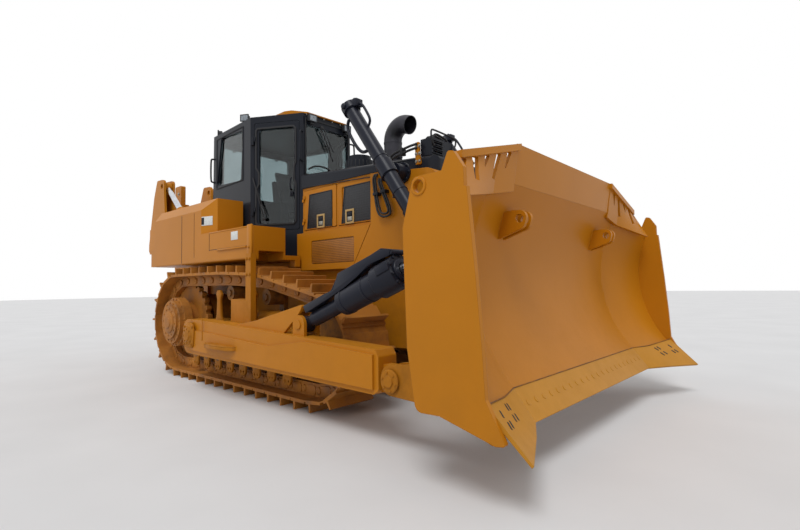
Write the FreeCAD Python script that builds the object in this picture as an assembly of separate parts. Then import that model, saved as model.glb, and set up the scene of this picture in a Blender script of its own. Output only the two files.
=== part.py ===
import FreeCAD, Part
import math
import os

# Crawler bulldozer with a semi-U blade and a rear ripper, in millimetres.
# X points forward, Y to the machine's left, Z up. Until the last step x is counted from the
# sprocket's centre line and z from the ground.

V = FreeCAD.Vector

# Fits
SEAT_GAP = 0.3          # gap of a curved or fitted piece from its seat
PIN_GAP = 0.05          # radial running gap of a pin or rod
SIDE_GAP = 8            # side gap between an eye and its fork
PROUD = 12              # how far a pin stands out of its fork

# Tracks
GAUGE = 2260
SHOE_WIDTH = 610
SHOE_COUNT = 40
GROUSER = 88
GROUSER_ROOT = 36
GROUSER_TIP = 24
GROUSER_FROM_PIN = 70
FIRST_GROUSER_X = -31
PIN_TO_PLATE = 110
SHOE_PLATE = 22
SHOE_BACKING = 16
SHOE_FILL = 0.94        # share of the pitch that a shoe covers
LINK_BELOW_PIN = 75
LINK_TAPER = 0.32       # how much a link shortens towards its inner edge
LINK_INNER = 45
LINK_OUTER = 125
SPROCKET_X = -70
SPROCKET_PLATE_R = 736
IDLER_X = 3400
IDLER_PLATE_R = 592
# each carrier roller: x, drop of the track's top run there, gap below the links
CARRIERS = ((1350, 0, 6), (2250, 38, 20))
CARRIER_BEND_R = 1800
CARRIER_R = 100
CARRIER_HALF = 115

# Wheels of the undercarriage
ROLLER_R = 130
ROLLER_FLANGE_R = 148
ROLLER_HALF = 150
ROLLER_FIRST_X = 560
ROLLER_PITCH = 328
ROLLER_COUNT = 8
FLANGE_HALF = 35
SHAFT_R = 45
IDLER_FLANGE_R = 440
TOOTH_COUNT = 27
TOOTH_TIP_R = 604
TOOTH_ROOT_R = 556
SPROCKET_HALF = 37
DRIVE_CASE_R = 420
DRIVE_HUB_R = 300
DRIVE_COVER_R = 375
DRIVE_COVER_Y = 1500

# Track frames
FRAME_HALF = 190
FRAME_GUARD = 25
FRAME_BOTTOM = 562
FRAME_TOP = 880
FRAME_REAR_X = 560
FRAME_FRONT_X = 2900
GUARD_BOTTOM = 350
RECOIL_R = 165
POST_X = (2230, 2350)       # post and box that stand outside the track's upper run
POST_Y = (1448, 1520)
POST_TOP = 1755
PIVOT_X = 720
PIVOT_Z = 730
PIVOT_R = 110

# Hull and decks
HULL_HALF = 560
HULL_BELLY = 600
DECK_HALF = 895
DECK_BOTTOM = 1692
DECK_TOP = 1760
HULL_REAR_X = -640
GUARD_REAR_X = 3520
GUARD_FRONT_X = 4450

# Side boxes beside the cab
BOX_OUTER = 1400
BOX_REAR_X = -900
BOX_FRONT_X = 1086
BOX_SIDE_TOP = 2470
BOX_TOP = 2620
BOX_CHAMFER = 100
BOX_CORNER_X = 773
SKIRT_TOP = 2122
SKIRT_FRONT_X = 2171
SKIRT_BOTTOM = 1700
SKIRT_POST_R = 35
SKIRT_NOTCH = (380, 106)   # depth and height of the recess in the skirt's front end
LEG_INNER = 670

# Tank behind the cab
REAR_TANK_X = -600
REAR_TANK_TOP = 2560

# Cab plan, right half mirrored: x, half width
CAB_FRONT = (1950, 450)
CAB_MIDDLE = (1230, 870)
CAB_REAR = (-80, 800)
CAB_REAR_LEAN = 40      # how far the rear wall's top stands forward
CAB_TOP = 3860
CAB_WALL = 60
CAB_FLOOR = 60
ROOF_THICK = 70

# Cab doors
DOOR_MARGIN = 58
DOOR_BOTTOM = 2165
DOOR_TOP = 3760
DOOR_THICK = 45
DOOR_GAP = 6
DOOR_FRAME = 75
DOOR_HINGE_OUT = 24
DOOR_HINGE_R = 15
GLASS_THICK = 8

# Hood
HOOD_HALF = 500
HOOD_WALL = 25
HOOD_REAR_X = 1990
COWL_REAR_TOP = 2938
COWL_FRONT_TOP = 2760
COWL_SKIRT = 215
COWL_THICK = 18
COWL_OVER = 16
PANEL_BOTTOM = 1560
HATCH_BOTTOM = 2128
HATCH_TOP = 2690
HATCH_GAP = 6
HATCH_FRAME = 80
HATCH_THICK = 30
HATCH_HINGE_OUT = 21
HATCH_HINGE_R = 10
# each engine hatch: name, rear x, front x, True where its hinge is at the rear
HATCHES = (("rear", 2045, 2745, True), ("front", 2775, 3475, False))

# On the hood
EXHAUST_X = 3300
EXHAUST_R = 118
EXHAUST_STEP = 3000
EXHAUST_TOP = 3240
EXHAUST_BEND_R = 183
EXHAUST_TURN = 110
EXHAUST_END = 64
EXHAUST_WALL = 8
CLEANER_X = 2658
CLEANER_R = 200
CLEANER_TOP = 3150
LAMP_BOX_X = (4180, 4338)
LAMP_BOX_Y = (-494, -110)
LAMP_BOX_TOP = 2963
LAMP_BOX_SPLIT = -280

# Radiator guard
GUARD_HALF = 640
GUARD_TOP = 2590
GUARD_WALL = 35
GUARD_CORNER_R = 95
GUARD_SIDE_TOP = 2071
LOWER_PANEL_TOP = 2070
LOWER_PANEL_REAR_X = 2060

# Lift cylinders
LIFT_Y = 900
LIFT_PIVOT = (4039, 2585)
LIFT_EYE = (5358, 700)
LIFT_BARREL_R = 80
LIFT_BAND_R = 98
LIFT_CAP_R = 102
LIFT_BORE_R = 66
LIFT_ROD_R = 42
LIFT_ABOVE = 1020
LIFT_CAP = 25
LIFT_BELOW = 690
LIFT_GLAND = 110
LIFT_PISTON = 100
LIFT_ROD_LENGTH = 2521
LIFT_EYE_R = 90
LIFT_EYE_HALF = 58
TRUNNION_R = 48
TRUNNION_IN = 255
YOKE_R = 92
YOKE_FLANGE_R = 118

# Push arms
ARM_INNER = 1530
ARM_OUTER = 1750
ARM_PIVOT = (1250, 720)
ARM_PIN = (4860, 570)
ARM_REAR_X = 1040
ARM_REAR_BOTTOM = 490
ARM_REAR_TOP = 935
ARM_FRONT_X = 4730
ARM_FRONT_BOTTOM = 436
ARM_FRONT_TOP = 812
ARM_PIVOT_R = 85
ARM_EYE_R = 115
ARM_EYE_Y = 1640
ARM_EYE_HALF = 50
ARM_PIN_R = 50
FORK_PLATE = 40

# Tilt cylinder on the right, brace strut on the left
STRUT_Y = 1600
STRUT_LOW = (3554, 962)
STRUT_HIGH = (5330, 1640)
STRUT_EYE_R = 82
STRUT_EYE_HALF = 55
STRUT_PIN_R = 45
STRUT_NECK = 170
STRUT_NECK_R = 52
STRUT_TUBE_R = 75
STRUT_BARREL_R = 124
STRUT_FLANGE_R = 150
STRUT_FLANGE_FROM = 1150
STRUT_BARREL_FROM = 640
STRUT_BARREL_TO = 1410
STRUT_ROD_R = 55
STRUT_ROD_LENGTH = 1080
BRACE_R = 92
BRACE_SCREW_R = 60

# Blade
BLADE_HALF = 2157
BLADE_FOLD_Y = 1400
BLADE_TOP = (5639, 2148)
BLADE_BOTTOM = (5770, 580)
BLADE_BEND_R = 1300
BLADE_PLATE = 30
WING_FORWARD = 240
WING_TOP_END = 1940
END_PLATE = 37
EDGE_TIP = (5939, 364)
EDGE_THICK = 38
WING_EDGE_Y = 1700
END_BIT_TIP = (6289, 2119, 348)
END_BIT_TOP = (6000, 2157, 633)
SPILL_TOP = (5686, 2471)
SPILL_HALF = 1087
RAIL_END = (5645, 1897, 2254)
RAIL_SIZE = 55
SPILL_SHEET = 30
SPILL_POST = (1985, 2190)
# edges at the rail inner and outer, edges at the foot inner and outer, share of the height
SPILL_SLOTS = ((1181, 1244, 1250, 1262, 0.62), (1341, 1401, 1409, 1459, 1.0),
               (1509, 1573, 1580, 1592, 0.5), (1673, 1748, 1719, 1784, 1.0),
               (1830, 1890, 1884, 1896, 0.6))
BLADE_LUG_Y = 996
BLADE_LUG_HOLE = (5667, 1869)
BLADE_LUG_HOLE_R = 35

# Ripper
RIP_LOW = (-820, 950)
RIP_HIGH = (-880, 1900)
RIP_LINK = (-1810, 1560)
RIP_ARM_Y = 500
RIP_ARM_HALF = 60
RIP_ARM_R = 120
RIP_LINK_R = 98
RIP_PIN_R = 55
RIP_PLATE = 45
RIP_CYL_Y = 260
RIP_CYL_ROOT = (-860, 1900)
RIP_CYL_R = 95
RIP_NECK = 165
RIP_NECK_R = 52
RIP_CYL_BORE = 78
RIP_CYL_ROD = 50
RIP_CYL_BARREL = 1500
RIP_CYL_ROD_LENGTH = 1650
RIP_CYL_HALF = 54
RIP_TOWER_TOP = 3610
RIP_BEAM_BOTTOM = 2080
RIP_BEAM_TOP = 2600
RIP_BEAM_FRONT = -2830
RIP_BEAM_REAR = -3300
SHANK_HALF = 50
SHANK_REAR = -3385
SHANK_DEPTH = 300
SHANK_TOP = 3620
SHANK_TIP_Z = 1180
POCKET_WALL = 55

nodes = {}


def save(name, shape):
    """Keeps a sub-part's shape under its node's name."""
    nodes[name] = shape


def box(x, y, z):
    """Block between three pairs of low and high values."""
    return Part.makeBox(x[1] - x[0], y[1] - y[0], z[1] - z[0], V(x[0], y[0], z[0]))


def rod(start, end, radius):
    """Round bar from one point to another."""
    axis = end - start
    return Part.makeCylinder(radius, axis.Length, start, axis)


def tube(start, end, outer, inner):
    """Round bar with a bore right through it."""
    return rod(start, end, outer).cut(rod(start, end, inner))


def pin_y(at, low, high, radius):
    """Round bar along Y through the point (x, z)."""
    return rod(V(at[0], low, at[1]), V(at[0], high, at[1]), radius)


def mirrored(shape):
    return shape.mirror(V(0, 0, 0), V(0, 1, 0))


def pair(shape):
    """A shape and its mirror image on the other side of the machine."""
    return Part.makeCompound([shape, mirrored(shape)])


def join(shapes):
    first = shapes[0]
    return first.multiFuse(shapes[1:]).removeSplitter() if len(shapes) > 1 else first


def group(shapes):
    return Part.makeCompound(shapes)


def turned(a, b):
    """Unit step from a to b in a plane, with its length."""
    step = (b[0] - a[0], b[1] - a[1])
    length = math.hypot(step[0], step[1])
    return (step[0] / length, step[1] / length), length


def outline(rows):
    """Closed outline as runs: ("line", p, q) and ("arc", p, middle, q, length).

    Each row is a corner (a, b) or a rounded corner (a, b, radius)."""
    count = len(rows)
    corners = []
    for index, row in enumerate(rows):
        at = (row[0], row[1])
        radius = row[2] if len(row) > 2 else 0
        if not radius:
            corners.append((at, None, at, 0))
            continue
        back, _ = turned(at, rows[index - 1])
        ahead, _ = turned(at, rows[(index + 1) % count])
        half = math.acos(back[0] * ahead[0] + back[1] * ahead[1]) / 2
        reach = radius / math.tan(half)
        start = (at[0] + back[0] * reach, at[1] + back[1] * reach)
        end = (at[0] + ahead[0] * reach, at[1] + ahead[1] * reach)
        middle_way, _ = turned((0, 0), (back[0] + ahead[0], back[1] + ahead[1]))
        depth = radius / math.sin(half) - radius
        middle = (at[0] + middle_way[0] * depth, at[1] + middle_way[1] * depth)
        corners.append((start, middle, end, radius * (math.pi - 2 * half)))
    runs = []
    for index, (start, middle, end, length) in enumerate(corners):
        after, gap = corners[(index + 1) % count][0], turned_length(end, rows[(index + 1) % count])
        if turned_length(after, rows[(index + 1) % count]) > gap + 1e-6:
            raise ValueError("two corner radii meet between rows %d and %d of %s" % (index, index + 1, rows))
        if middle:
            runs.append(("arc", start, middle, end, length))
        following = corners[(index + 1) % count][0]
        if turned_length(end, following) > 1e-6:
            runs.append(("line", end, following))
    return runs


def turned_length(a, b):
    return math.hypot(b[0] - a[0], b[1] - a[1])


def place(plane, a, b, depth):
    """Point of a plane: "xz", "yz" or "xy", depth along the remaining axis."""
    if plane == "xz":
        return V(a, depth, b)
    if plane == "yz":
        return V(depth, a, b)
    return V(a, b, depth)


def face_of(runs, plane, depth):
    edges = []
    for run in runs:
        points = [place(plane, p[0], p[1], depth) for p in run[1:] if isinstance(p, tuple)]
        if run[0] == "line":
            edges.append(Part.makeLine(points[0], points[1]))
        else:
            edges.append(Part.Arc(points[0], points[1], points[2]).toShape())
    return Part.Face(Part.Wire(edges))


def slab(rows, plane, low, high):
    """Plate with the given outline, between two depths."""
    return face_of(outline(rows), plane, low).extrude(place(plane, 0, 0, high - low))


def wall_slab(start, end, rows, inward, outward):
    """Upright plate along the plan line start to end, seen from outside.

    Rows are (distance along the line, z, radius). Depths count outwards from the line."""
    way, _ = turned(start, end)
    plate = slab(rows, "xz", -outward, -inward)
    turn = FreeCAD.Rotation(V(0, 0, 1), math.degrees(math.atan2(way[1], way[0])))
    plate.Placement = FreeCAD.Placement(V(start[0], start[1], 0), turn)
    return plate


def along(start, way, distance):
    return (start[0] + way[0] * distance, start[1] + way[1] * distance)


# Undercarriage


def track_rows():
    """Corner rows of the closed line through the track's pins, and the idler's centre height."""
    bottom = GROUSER + PIN_TO_PLATE
    rear_r = SPROCKET_PLATE_R - PIN_TO_PLATE
    front_r = IDLER_PLATE_R - PIN_TO_PLATE
    rear = SPROCKET_X - rear_r
    front = IDLER_X + front_r
    top = bottom + 2 * rear_r
    idler_z = bottom + front_r
    last = (CARRIERS[-1][0], top - CARRIERS[-1][1])
    across = math.hypot(IDLER_X - last[0], idler_z - last[1])
    slope = math.atan2(idler_z - last[1], IDLER_X - last[0]) + math.asin(front_r / across)
    corner = (front, last[1] + (front - last[0]) * math.tan(slope))
    rows = [(rear, bottom, rear_r), (front, bottom, front_r), (corner[0], corner[1], front_r)]
    rows += [(x, top - drop, CARRIER_BEND_R) for x, drop, _ in reversed(CARRIERS)]
    rows.append((rear, top, rear_r))
    return rows, idler_z


def pins_along(rows, count, start):
    """Points at equal steps along the rounded outline, from its first straight run on."""
    runs = outline(rows)
    runs = runs[1:] + runs[:1]
    lengths = [run[4] if run[0] == "arc" else turned_length(run[1], run[2]) for run in runs]
    step = sum(lengths) / count
    points = []
    for index in range(count):
        rest = (start + index * step) % sum(lengths)
        place_in = 0
        while rest > lengths[place_in]:
            rest -= lengths[place_in]
            place_in += 1
        run = runs[place_in]
        share = rest / lengths[place_in]
        if run[0] == "line":
            points.append((run[1][0] + (run[2][0] - run[1][0]) * share,
                           run[1][1] + (run[2][1] - run[1][1]) * share))
        else:
            arc = Part.Arc(*[V(p[0], p[1], 0) for p in run[1:4]])
            low, high = arc.FirstParameter, arc.LastParameter
            spot = arc.value(low + (high - low) * share)
            if arc.value(low).distanceToPoint(V(run[1][0], run[1][1], 0)) > 1e-3:
                spot = arc.value(high - (high - low) * share)
            points.append((spot.x, spot.y))
    return points, step


def link_points(pins, rows):
    """Points (along the link, outwards from its pins) of every link, as one closed polygon."""
    polygon = []
    for index, first in enumerate(pins):
        second = pins[(index + 1) % len(pins)]
        way, _ = turned(first, second)
        middle = ((first[0] + second[0]) / 2, (first[1] + second[1]) / 2)
        for forward, out in rows:
            polygon.append((middle[0] + way[0] * forward + way[1] * out,
                            middle[1] + way[1] * forward - way[0] * out))
    return polygon


def make_tracks():
    rows, _ = track_rows()
    pins, _ = pins_along(rows, SHOE_COUNT, 0)
    _, step = pins_along(rows, SHOE_COUNT, 0)
    start = (FIRST_GROUSER_X - GROUSER_FROM_PIN - SPROCKET_X) % step
    pins, step = pins_along(rows, SHOE_COUNT, start)
    half = step * SHOE_FILL / 2
    grip = GROUSER_FROM_PIN - step / 2
    plate_in = PIN_TO_PLATE - SHOE_PLATE
    back = plate_in - SHOE_BACKING
    tip = PIN_TO_PLATE + GROUSER
    shoe = [(-half, plate_in), (-half, PIN_TO_PLATE), (grip - GROUSER_ROOT / 2, PIN_TO_PLATE),
            (grip - GROUSER_TIP / 2, tip), (grip + GROUSER_TIP / 2, tip),
            (grip + GROUSER_ROOT / 2, PIN_TO_PLATE), (half, PIN_TO_PLATE), (half, plate_in)]
    outer = link_points(pins, shoe)
    inner = link_points(pins, [(-half, back), (half, back)])
    short = half - LINK_BELOW_PIN * LINK_TAPER
    below = link_points(pins, [(-short, -LINK_BELOW_PIN), (short, -LINK_BELOW_PIN)])
    centre = GAUGE / 2
    low, high = centre - SHOE_WIDTH / 2, centre + SHOE_WIDTH / 2
    shoes = slab(outer, "xz", low, high).cut(slab(inner, "xz", low - 1, high + 1))
    rails = []
    for near, far in ((-LINK_OUTER, -LINK_INNER), (LINK_INNER, LINK_OUTER)):
        rail = slab(inner, "xz", centre + near, centre + far)
        rails.append(rail.cut(slab(below, "xz", centre + near - 1, centre + far + 1)))
    track = join([shoes] + rails)
    save("track_left", track)
    save("track_right", mirrored(track))


def wheel(at, centre_y, steps):
    """Stepped wheel from (half width, radius) steps about one axis along Y."""
    return join([pin_y(at, centre_y - half, centre_y + half, radius) for half, radius in steps])


def make_wheels():
    rows, idler_z = track_rows()
    centre = GAUGE / 2
    pin_low = GROUSER + PIN_TO_PLATE
    top = rows[-1][1]
    rail_low = pin_low + LINK_BELOW_PIN
    rail_top = top - LINK_BELOW_PIN
    wheels = []
    for index in range(ROLLER_COUNT):
        at = (ROLLER_FIRST_X + index * ROLLER_PITCH, rail_low + ROLLER_R + SEAT_GAP)
        steps = ((FLANGE_HALF, ROLLER_FLANGE_R), (ROLLER_HALF, ROLLER_R), (FRAME_HALF, SHAFT_R))
        wheels.append(wheel(at, centre, steps))
    _, step = pins_along(rows, SHOE_COUNT, 0)
    pin_r = IDLER_PLATE_R - PIN_TO_PLATE
    idler_r = math.sqrt(pin_r ** 2 - (step / 2) ** 2) - LINK_BELOW_PIN - SEAT_GAP
    steps = ((FLANGE_HALF, IDLER_FLANGE_R), (ROLLER_HALF, idler_r), (FRAME_HALF, SHAFT_R))
    wheels.append(wheel((IDLER_X, idler_z), centre, steps))
    save("track_wheels", pair(group(wheels)))
    carriers = []
    for x, drop, gap in CARRIERS:
        at = (x, rail_top - drop - CARRIER_R - gap)
        post = box((x - 50, x + 50), (centre - CARRIER_HALF - 60, centre - CARRIER_HALF),
                   (FRAME_TOP, at[1] + 50))
        steps = ((CARRIER_HALF, CARRIER_R), (CARRIER_HALF + 22, SHAFT_R))
        carriers.append(join([wheel(at, centre, steps), post]))
    save("carrier_rollers", pair(group(carriers).cut(nodes["track_frame_left"])))


def make_drives():
    """Sprockets on the final drives, with their cases and covers."""
    centre = GAUGE / 2
    at = (SPROCKET_X, GROUSER + SPROCKET_PLATE_R)
    teeth = []
    for index in range(TOOTH_COUNT):
        for share, radius in ((0, TOOTH_ROOT_R), (0.3, TOOTH_ROOT_R), (0.48, TOOTH_TIP_R),
                              (0.82, TOOTH_TIP_R)):
            angle = 2 * math.pi * (index + share) / TOOTH_COUNT
            teeth.append((at[0] + radius * math.cos(angle), at[1] + radius * math.sin(angle)))
    ring = slab(teeth, "xz", centre - SPROCKET_HALF, centre + SPROCKET_HALF)
    hub_out = centre + FRAME_HALF - 30
    pieces = [ring,
              pin_y(at, HULL_HALF, centre - LINK_OUTER - 35, DRIVE_CASE_R),
              pin_y(at, centre - LINK_OUTER - 35, hub_out, DRIVE_HUB_R),
              pin_y(at, hub_out, DRIVE_COVER_Y - 90, DRIVE_COVER_R),
              pin_y(at, DRIVE_COVER_Y - 90, DRIVE_COVER_Y - 30, DRIVE_COVER_R - 45),
              pin_y(at, DRIVE_COVER_Y - 30, DRIVE_COVER_Y, DRIVE_COVER_R - 120)]
    save("final_drives", pair(join(pieces)))


def make_track_frames():
    centre = GAUGE / 2
    inner, outer = centre - FRAME_HALF, centre + FRAME_HALF
    roller_z = GROUSER + PIN_TO_PLATE + LINK_BELOW_PIN + ROLLER_R + SEAT_GAP
    _, idler_z = track_rows()
    last_x = ROLLER_FIRST_X + (ROLLER_COUNT - 1) * ROLLER_PITCH
    nose = IDLER_X + 130
    side = [(ROLLER_FIRST_X - 110, GUARD_BOTTOM, 60), (last_x + 110, GUARD_BOTTOM, 60),
            (last_x + 190, FRAME_BOTTOM - 60), (nose, FRAME_BOTTOM - 20, 40),
            (nose, idler_z + 120, 60), (FRAME_FRONT_X + 60, idler_z + 130),
            (FRAME_FRONT_X, FRAME_TOP, 60), (FRAME_REAR_X, FRAME_TOP, 60),
            (FRAME_REAR_X, FRAME_BOTTOM + 40, 40), (ROLLER_FIRST_X - 110, FRAME_BOTTOM, 40)]
    guards = []
    for low, high in ((inner - FRAME_GUARD, inner), (outer, outer + FRAME_GUARD)):
        plate = slab(side, "xz", low, high)
        for index in range(ROLLER_COUNT - 1):
            x = ROLLER_FIRST_X + (index + 0.5) * ROLLER_PITCH
            gap = [(x - 92, roller_z - 20, 20), (x + 92, roller_z - 20, 20),
                   (x + 60, FRAME_BOTTOM - 45, 20), (x - 60, FRAME_BOTTOM - 45, 20)]
            plate = plate.cut(slab(gap, "xz", low - 1, high + 1))
        guards.append(plate)
    beam = box((FRAME_REAR_X, FRAME_FRONT_X), (inner, outer), (FRAME_BOTTOM, FRAME_TOP))
    recoil = rod(V(FRAME_REAR_X + 900, centre, FRAME_TOP), V(FRAME_FRONT_X - 40, centre, FRAME_TOP),
                 RECOIL_R)
    trunnion = pin_y(ARM_PIVOT, outer, ARM_OUTER + 30, ARM_PIVOT_R)
    boss = pin_y(ARM_PIVOT, outer, ARM_INNER - SIDE_GAP, ARM_PIVOT_R + 70)
    bracket = box(POST_X, (outer - 1, POST_Y[0] + 1), (620, 860))
    post = box(POST_X, POST_Y, (620, POST_TOP))
    step_box = box((POST_X[0] - 350, POST_X[0] + 1), POST_Y, (892, 1196))
    frame = join([beam, recoil, trunnion, boss, bracket, post, step_box] + guards)
    bore = pin_y((PIVOT_X, PIVOT_Z), inner - FRAME_GUARD - 1, inner + 60, PIVOT_R + SEAT_GAP)
    frame = frame.cut(bore)
    save("track_frame_left", frame)
    save("track_frame_right", mirrored(frame))


# Hull, boxes and decks


def make_hull():
    side = [(HULL_REAR_X, 760, 60), (HULL_REAR_X, DECK_BOTTOM),
            (HOOD_REAR_X + 20, DECK_BOTTOM), (HOOD_REAR_X + 20, PANEL_BOTTOM),
            (GUARD_FRONT_X - 60, PANEL_BOTTOM), (GUARD_FRONT_X - 60, 1250),
            (4150, HULL_BELLY + 40, 120), (900, HULL_BELLY), (-300, HULL_BELLY)]
    hull = slab(side, "xz", -HULL_HALF, HULL_HALF)
    deck = box((HULL_REAR_X, HOOD_REAR_X - 45), (-DECK_HALF, DECK_HALF), (DECK_BOTTOM, DECK_TOP))
    inner = GAUGE / 2 - FRAME_HALF
    pivot = pin_y((PIVOT_X, PIVOT_Z), -inner - 50, inner + 50, PIVOT_R)
    bar = box((2560, 2760), (-inner + FRAME_GUARD, inner - FRAME_GUARD), (FRAME_BOTTOM + 60, FRAME_TOP))
    save("main_frame", join([hull, deck, pivot, bar]))
    tank = slab([(REAR_TANK_X, DECK_TOP), (CAB_REAR[0] - 25, DECK_TOP), (CAB_REAR[0] - 25, REAR_TANK_TOP, 40),
                 (REAR_TANK_X + 130, REAR_TANK_TOP, 60), (REAR_TANK_X, REAR_TANK_TOP - 200, 60)],
                "xz", -DECK_HALF + 10, DECK_HALF - 10)
    save("rear_tank", tank)
    save("engine_block", box((2120, 3380), (-400, 400), (PANEL_BOTTOM, 2500)))


def make_side_boxes():
    """Tank and skirt over each track, seated on the deck's edge."""
    tank = [(DECK_HALF, SKIRT_BOTTOM), (BOX_OUTER, SKIRT_BOTTOM, 25), (BOX_OUTER, BOX_SIDE_TOP),
            (BOX_OUTER - BOX_CHAMFER, BOX_TOP), (DECK_HALF + 12, BOX_TOP), (DECK_HALF + 12, DECK_TOP),
            (DECK_HALF, DECK_TOP)]
    body = slab(tank, "yz", BOX_REAR_X, BOX_FRONT_X)
    corner = [(BOX_CORNER_X, BOX_OUTER + 5), (BOX_FRONT_X + 5, BOX_OUTER + 5),
              (BOX_FRONT_X + 5, BOX_OUTER - BOX_CHAMFER)]
    body = body.cut(slab(corner, "xy", SKIRT_TOP, BOX_TOP + 5))
    skirt = [(DECK_HALF, SKIRT_BOTTOM), (BOX_OUTER, SKIRT_BOTTOM, 25), (BOX_OUTER, SKIRT_TOP, 30),
             (DECK_HALF + 12, SKIRT_TOP), (DECK_HALF + 12, DECK_TOP), (DECK_HALF, DECK_TOP)]
    front = slab(skirt, "yz", BOX_FRONT_X - 1, SKIRT_FRONT_X)
    plan = [(BOX_FRONT_X - 1, DECK_HALF), (SKIRT_FRONT_X, DECK_HALF),
            (SKIRT_FRONT_X, BOX_OUTER, SKIRT_POST_R),
            (BOX_FRONT_X - 1, BOX_OUTER)]
    front = front.common(slab(plan, "xy", SKIRT_BOTTOM, SKIRT_TOP))
    notch = box((SKIRT_FRONT_X - SKIRT_NOTCH[0], SKIRT_FRONT_X + 1), (DECK_HALF + 35, BOX_OUTER - 96),
                (SKIRT_BOTTOM - 1, SKIRT_BOTTOM + SKIRT_NOTCH[1]))
    step = box((HOOD_REAR_X + 60, SKIRT_FRONT_X), (LEG_INNER, DECK_HALF + 1),
               (SKIRT_BOTTOM, SKIRT_BOTTOM + 60))
    leg = box((HOOD_REAR_X + 60, SKIRT_FRONT_X), (LEG_INNER, LEG_INNER + 81),
              (SKIRT_BOTTOM - 88, SKIRT_BOTTOM + 1))
    rear = box((BOX_REAR_X - 200, BOX_REAR_X + 1), (1000, 1385), (1710, 1990))
    shape = join([body, front.cut(notch), step, leg, rear])
    save("side_box_left", shape)
    save("side_box_right", mirrored(shape))


# Cab


def cab_corners():
    """Plan corners of the cab, anticlockwise from the right front."""
    left = [CAB_FRONT, CAB_MIDDLE, CAB_REAR]
    return [(x, -y) for x, y in reversed(left)] + left


def inset(corners, depth):
    """Plan corners moved inwards by a depth, for an anticlockwise outline."""
    moved = []
    for index, at in enumerate(corners):
        into, _ = turned(corners[index - 1], at)
        out, _ = turned(at, corners[(index + 1) % len(corners)])
        sine = into[0] * out[1] - into[1] * out[0]
        shift = depth / sine
        moved.append((at[0] + shift * (out[0] - into[0]), at[1] + shift * (out[1] - into[1])))
    return moved


def door_wall(side):
    """Start and end of the angled door wall in plan, seen from outside, left to right."""
    middle, front = (CAB_MIDDLE[0], side * CAB_MIDDLE[1]), (CAB_FRONT[0], side * CAB_FRONT[1])
    return (middle, front) if side < 0 else (front, middle)


def make_cab():
    corners = cab_corners()
    outer = slab(corners, "xy", DECK_TOP, CAB_TOP)
    inner = slab(inset(corners, CAB_WALL), "xy", DECK_TOP + CAB_FLOOR, CAB_TOP - CAB_WALL)
    rear = CAB_REAR[0]
    lean = [(rear - 10, SKIRT_TOP), (rear, SKIRT_TOP), (rear + CAB_REAR_LEAN, CAB_TOP + 5),
            (rear - 10, CAB_TOP + 5)]
    lean_in = [(rear + CAB_WALL - 10, SKIRT_TOP), (rear + CAB_WALL, SKIRT_TOP),
               (rear + CAB_WALL + CAB_REAR_LEAN, CAB_TOP + 5), (rear + CAB_WALL - 10, CAB_TOP + 5)]
    width = CAB_MIDDLE[1] + 10
    inner = inner.cut(slab(lean_in, "xz", -width, width))
    shell = outer.cut(slab(lean, "xz", -width, width)).cut(inner)
    panes = []
    holes = []
    reach = CAB_WALL + 30
    # windscreen, rear window
    front_y = CAB_FRONT[1] - 45
    screen = [(-front_y, 2330, 60), (front_y, 2330, 60), (front_y, 3700, 60), (-front_y, 3700, 60)]
    holes.append(slab(screen, "yz", CAB_FRONT[0] - reach, CAB_FRONT[0] + 10))
    panes.append(slab(shrunk(screen), "yz", CAB_FRONT[0] - 30 - GLASS_THICK, CAB_FRONT[0] - 30))
    back = [(-640, 2900, 60), (640, 2900, 60), (640, 3700, 60), (-640, 3700, 60)]
    holes.append(slab(back, "yz", rear - 20, rear + CAB_REAR_LEAN + reach))
    tilt = math.atan2(CAB_REAR_LEAN, CAB_TOP - SKIRT_TOP)
    mid_z = (back[0][1] + back[2][1]) / 2
    mid_x = rear + (mid_z - SKIRT_TOP) * math.tan(tilt) + CAB_WALL / 2
    for side in (-1, 1):
        ends = [(CAB_REAR[0], side * CAB_REAR[1]), (CAB_MIDDLE[0], side * CAB_MIDDLE[1])]
        start, end = ends if side < 0 else ends[::-1]
        _, length = turned(start, end)
        window = [(162, 3018, 50), (1008, 2971, 50), (1067, 3724, 50), (317, 3780, 50)]
        if side > 0:
            window = [(length - s, z, r) for s, z, r in reversed(window)]
        holes.append(wall_slab(start, end, window, -reach, 10))
        panes.append(wall_slab(start, end, shrunk(window), -30 - GLASS_THICK, -30))
        start, end = door_wall(side)
        _, length = turned(start, end)
        opening = [(DOOR_MARGIN, DOOR_BOTTOM, 30), (length - DOOR_MARGIN, DOOR_BOTTOM, 30),
                   (length - DOOR_MARGIN, DOOR_TOP, 30), (DOOR_MARGIN, DOOR_TOP, 30)]
        holes.append(wall_slab(start, end, opening, -reach, 10))
    frame = shell.cut(holes)
    hinges = []
    for side in (-1, 1):
        axis = hinge_axis(side)
        for z in (DOOR_BOTTOM + 220, DOOR_TOP - 330):
            barrel = rod(V(axis[0], axis[1], z), V(axis[0], axis[1], z + 60), DOOR_HINGE_R)
            hinges.append(barrel)
            hinges.append(hinge_leaf(side, z, z + 60, -1))
    frame = join([frame] + hinges)
    back_pane = slab(shrunk(back), "yz", -GLASS_THICK / 2, GLASS_THICK / 2)
    back_pane.rotate(V(0, 0, mid_z), V(0, 1, 0), math.degrees(tilt))
    back_pane.translate(V(mid_x, 0, 0))
    save("cab_frame", frame)
    panes.append(back_pane.common(slab(back, "yz", rear, rear + CAB_REAR_LEAN + reach)))
    save("cab_glass", group(panes))
    roof_z = CAB_TOP + ROOF_THICK
    plate = [(1120, -560), (1640, -560), (1985, -400), (1985, 400), (1640, 560), (1120, 560)]
    roof = slab(plate, "xy", CAB_TOP, roof_z)
    bevel = [(1985 - 240, roof_z + 1), (1985 + 1, roof_z - 55), (1985 + 1, roof_z + 1)]
    save("cab_roof", roof.cut(slab(bevel, "xz", -600, 600)))


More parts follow.
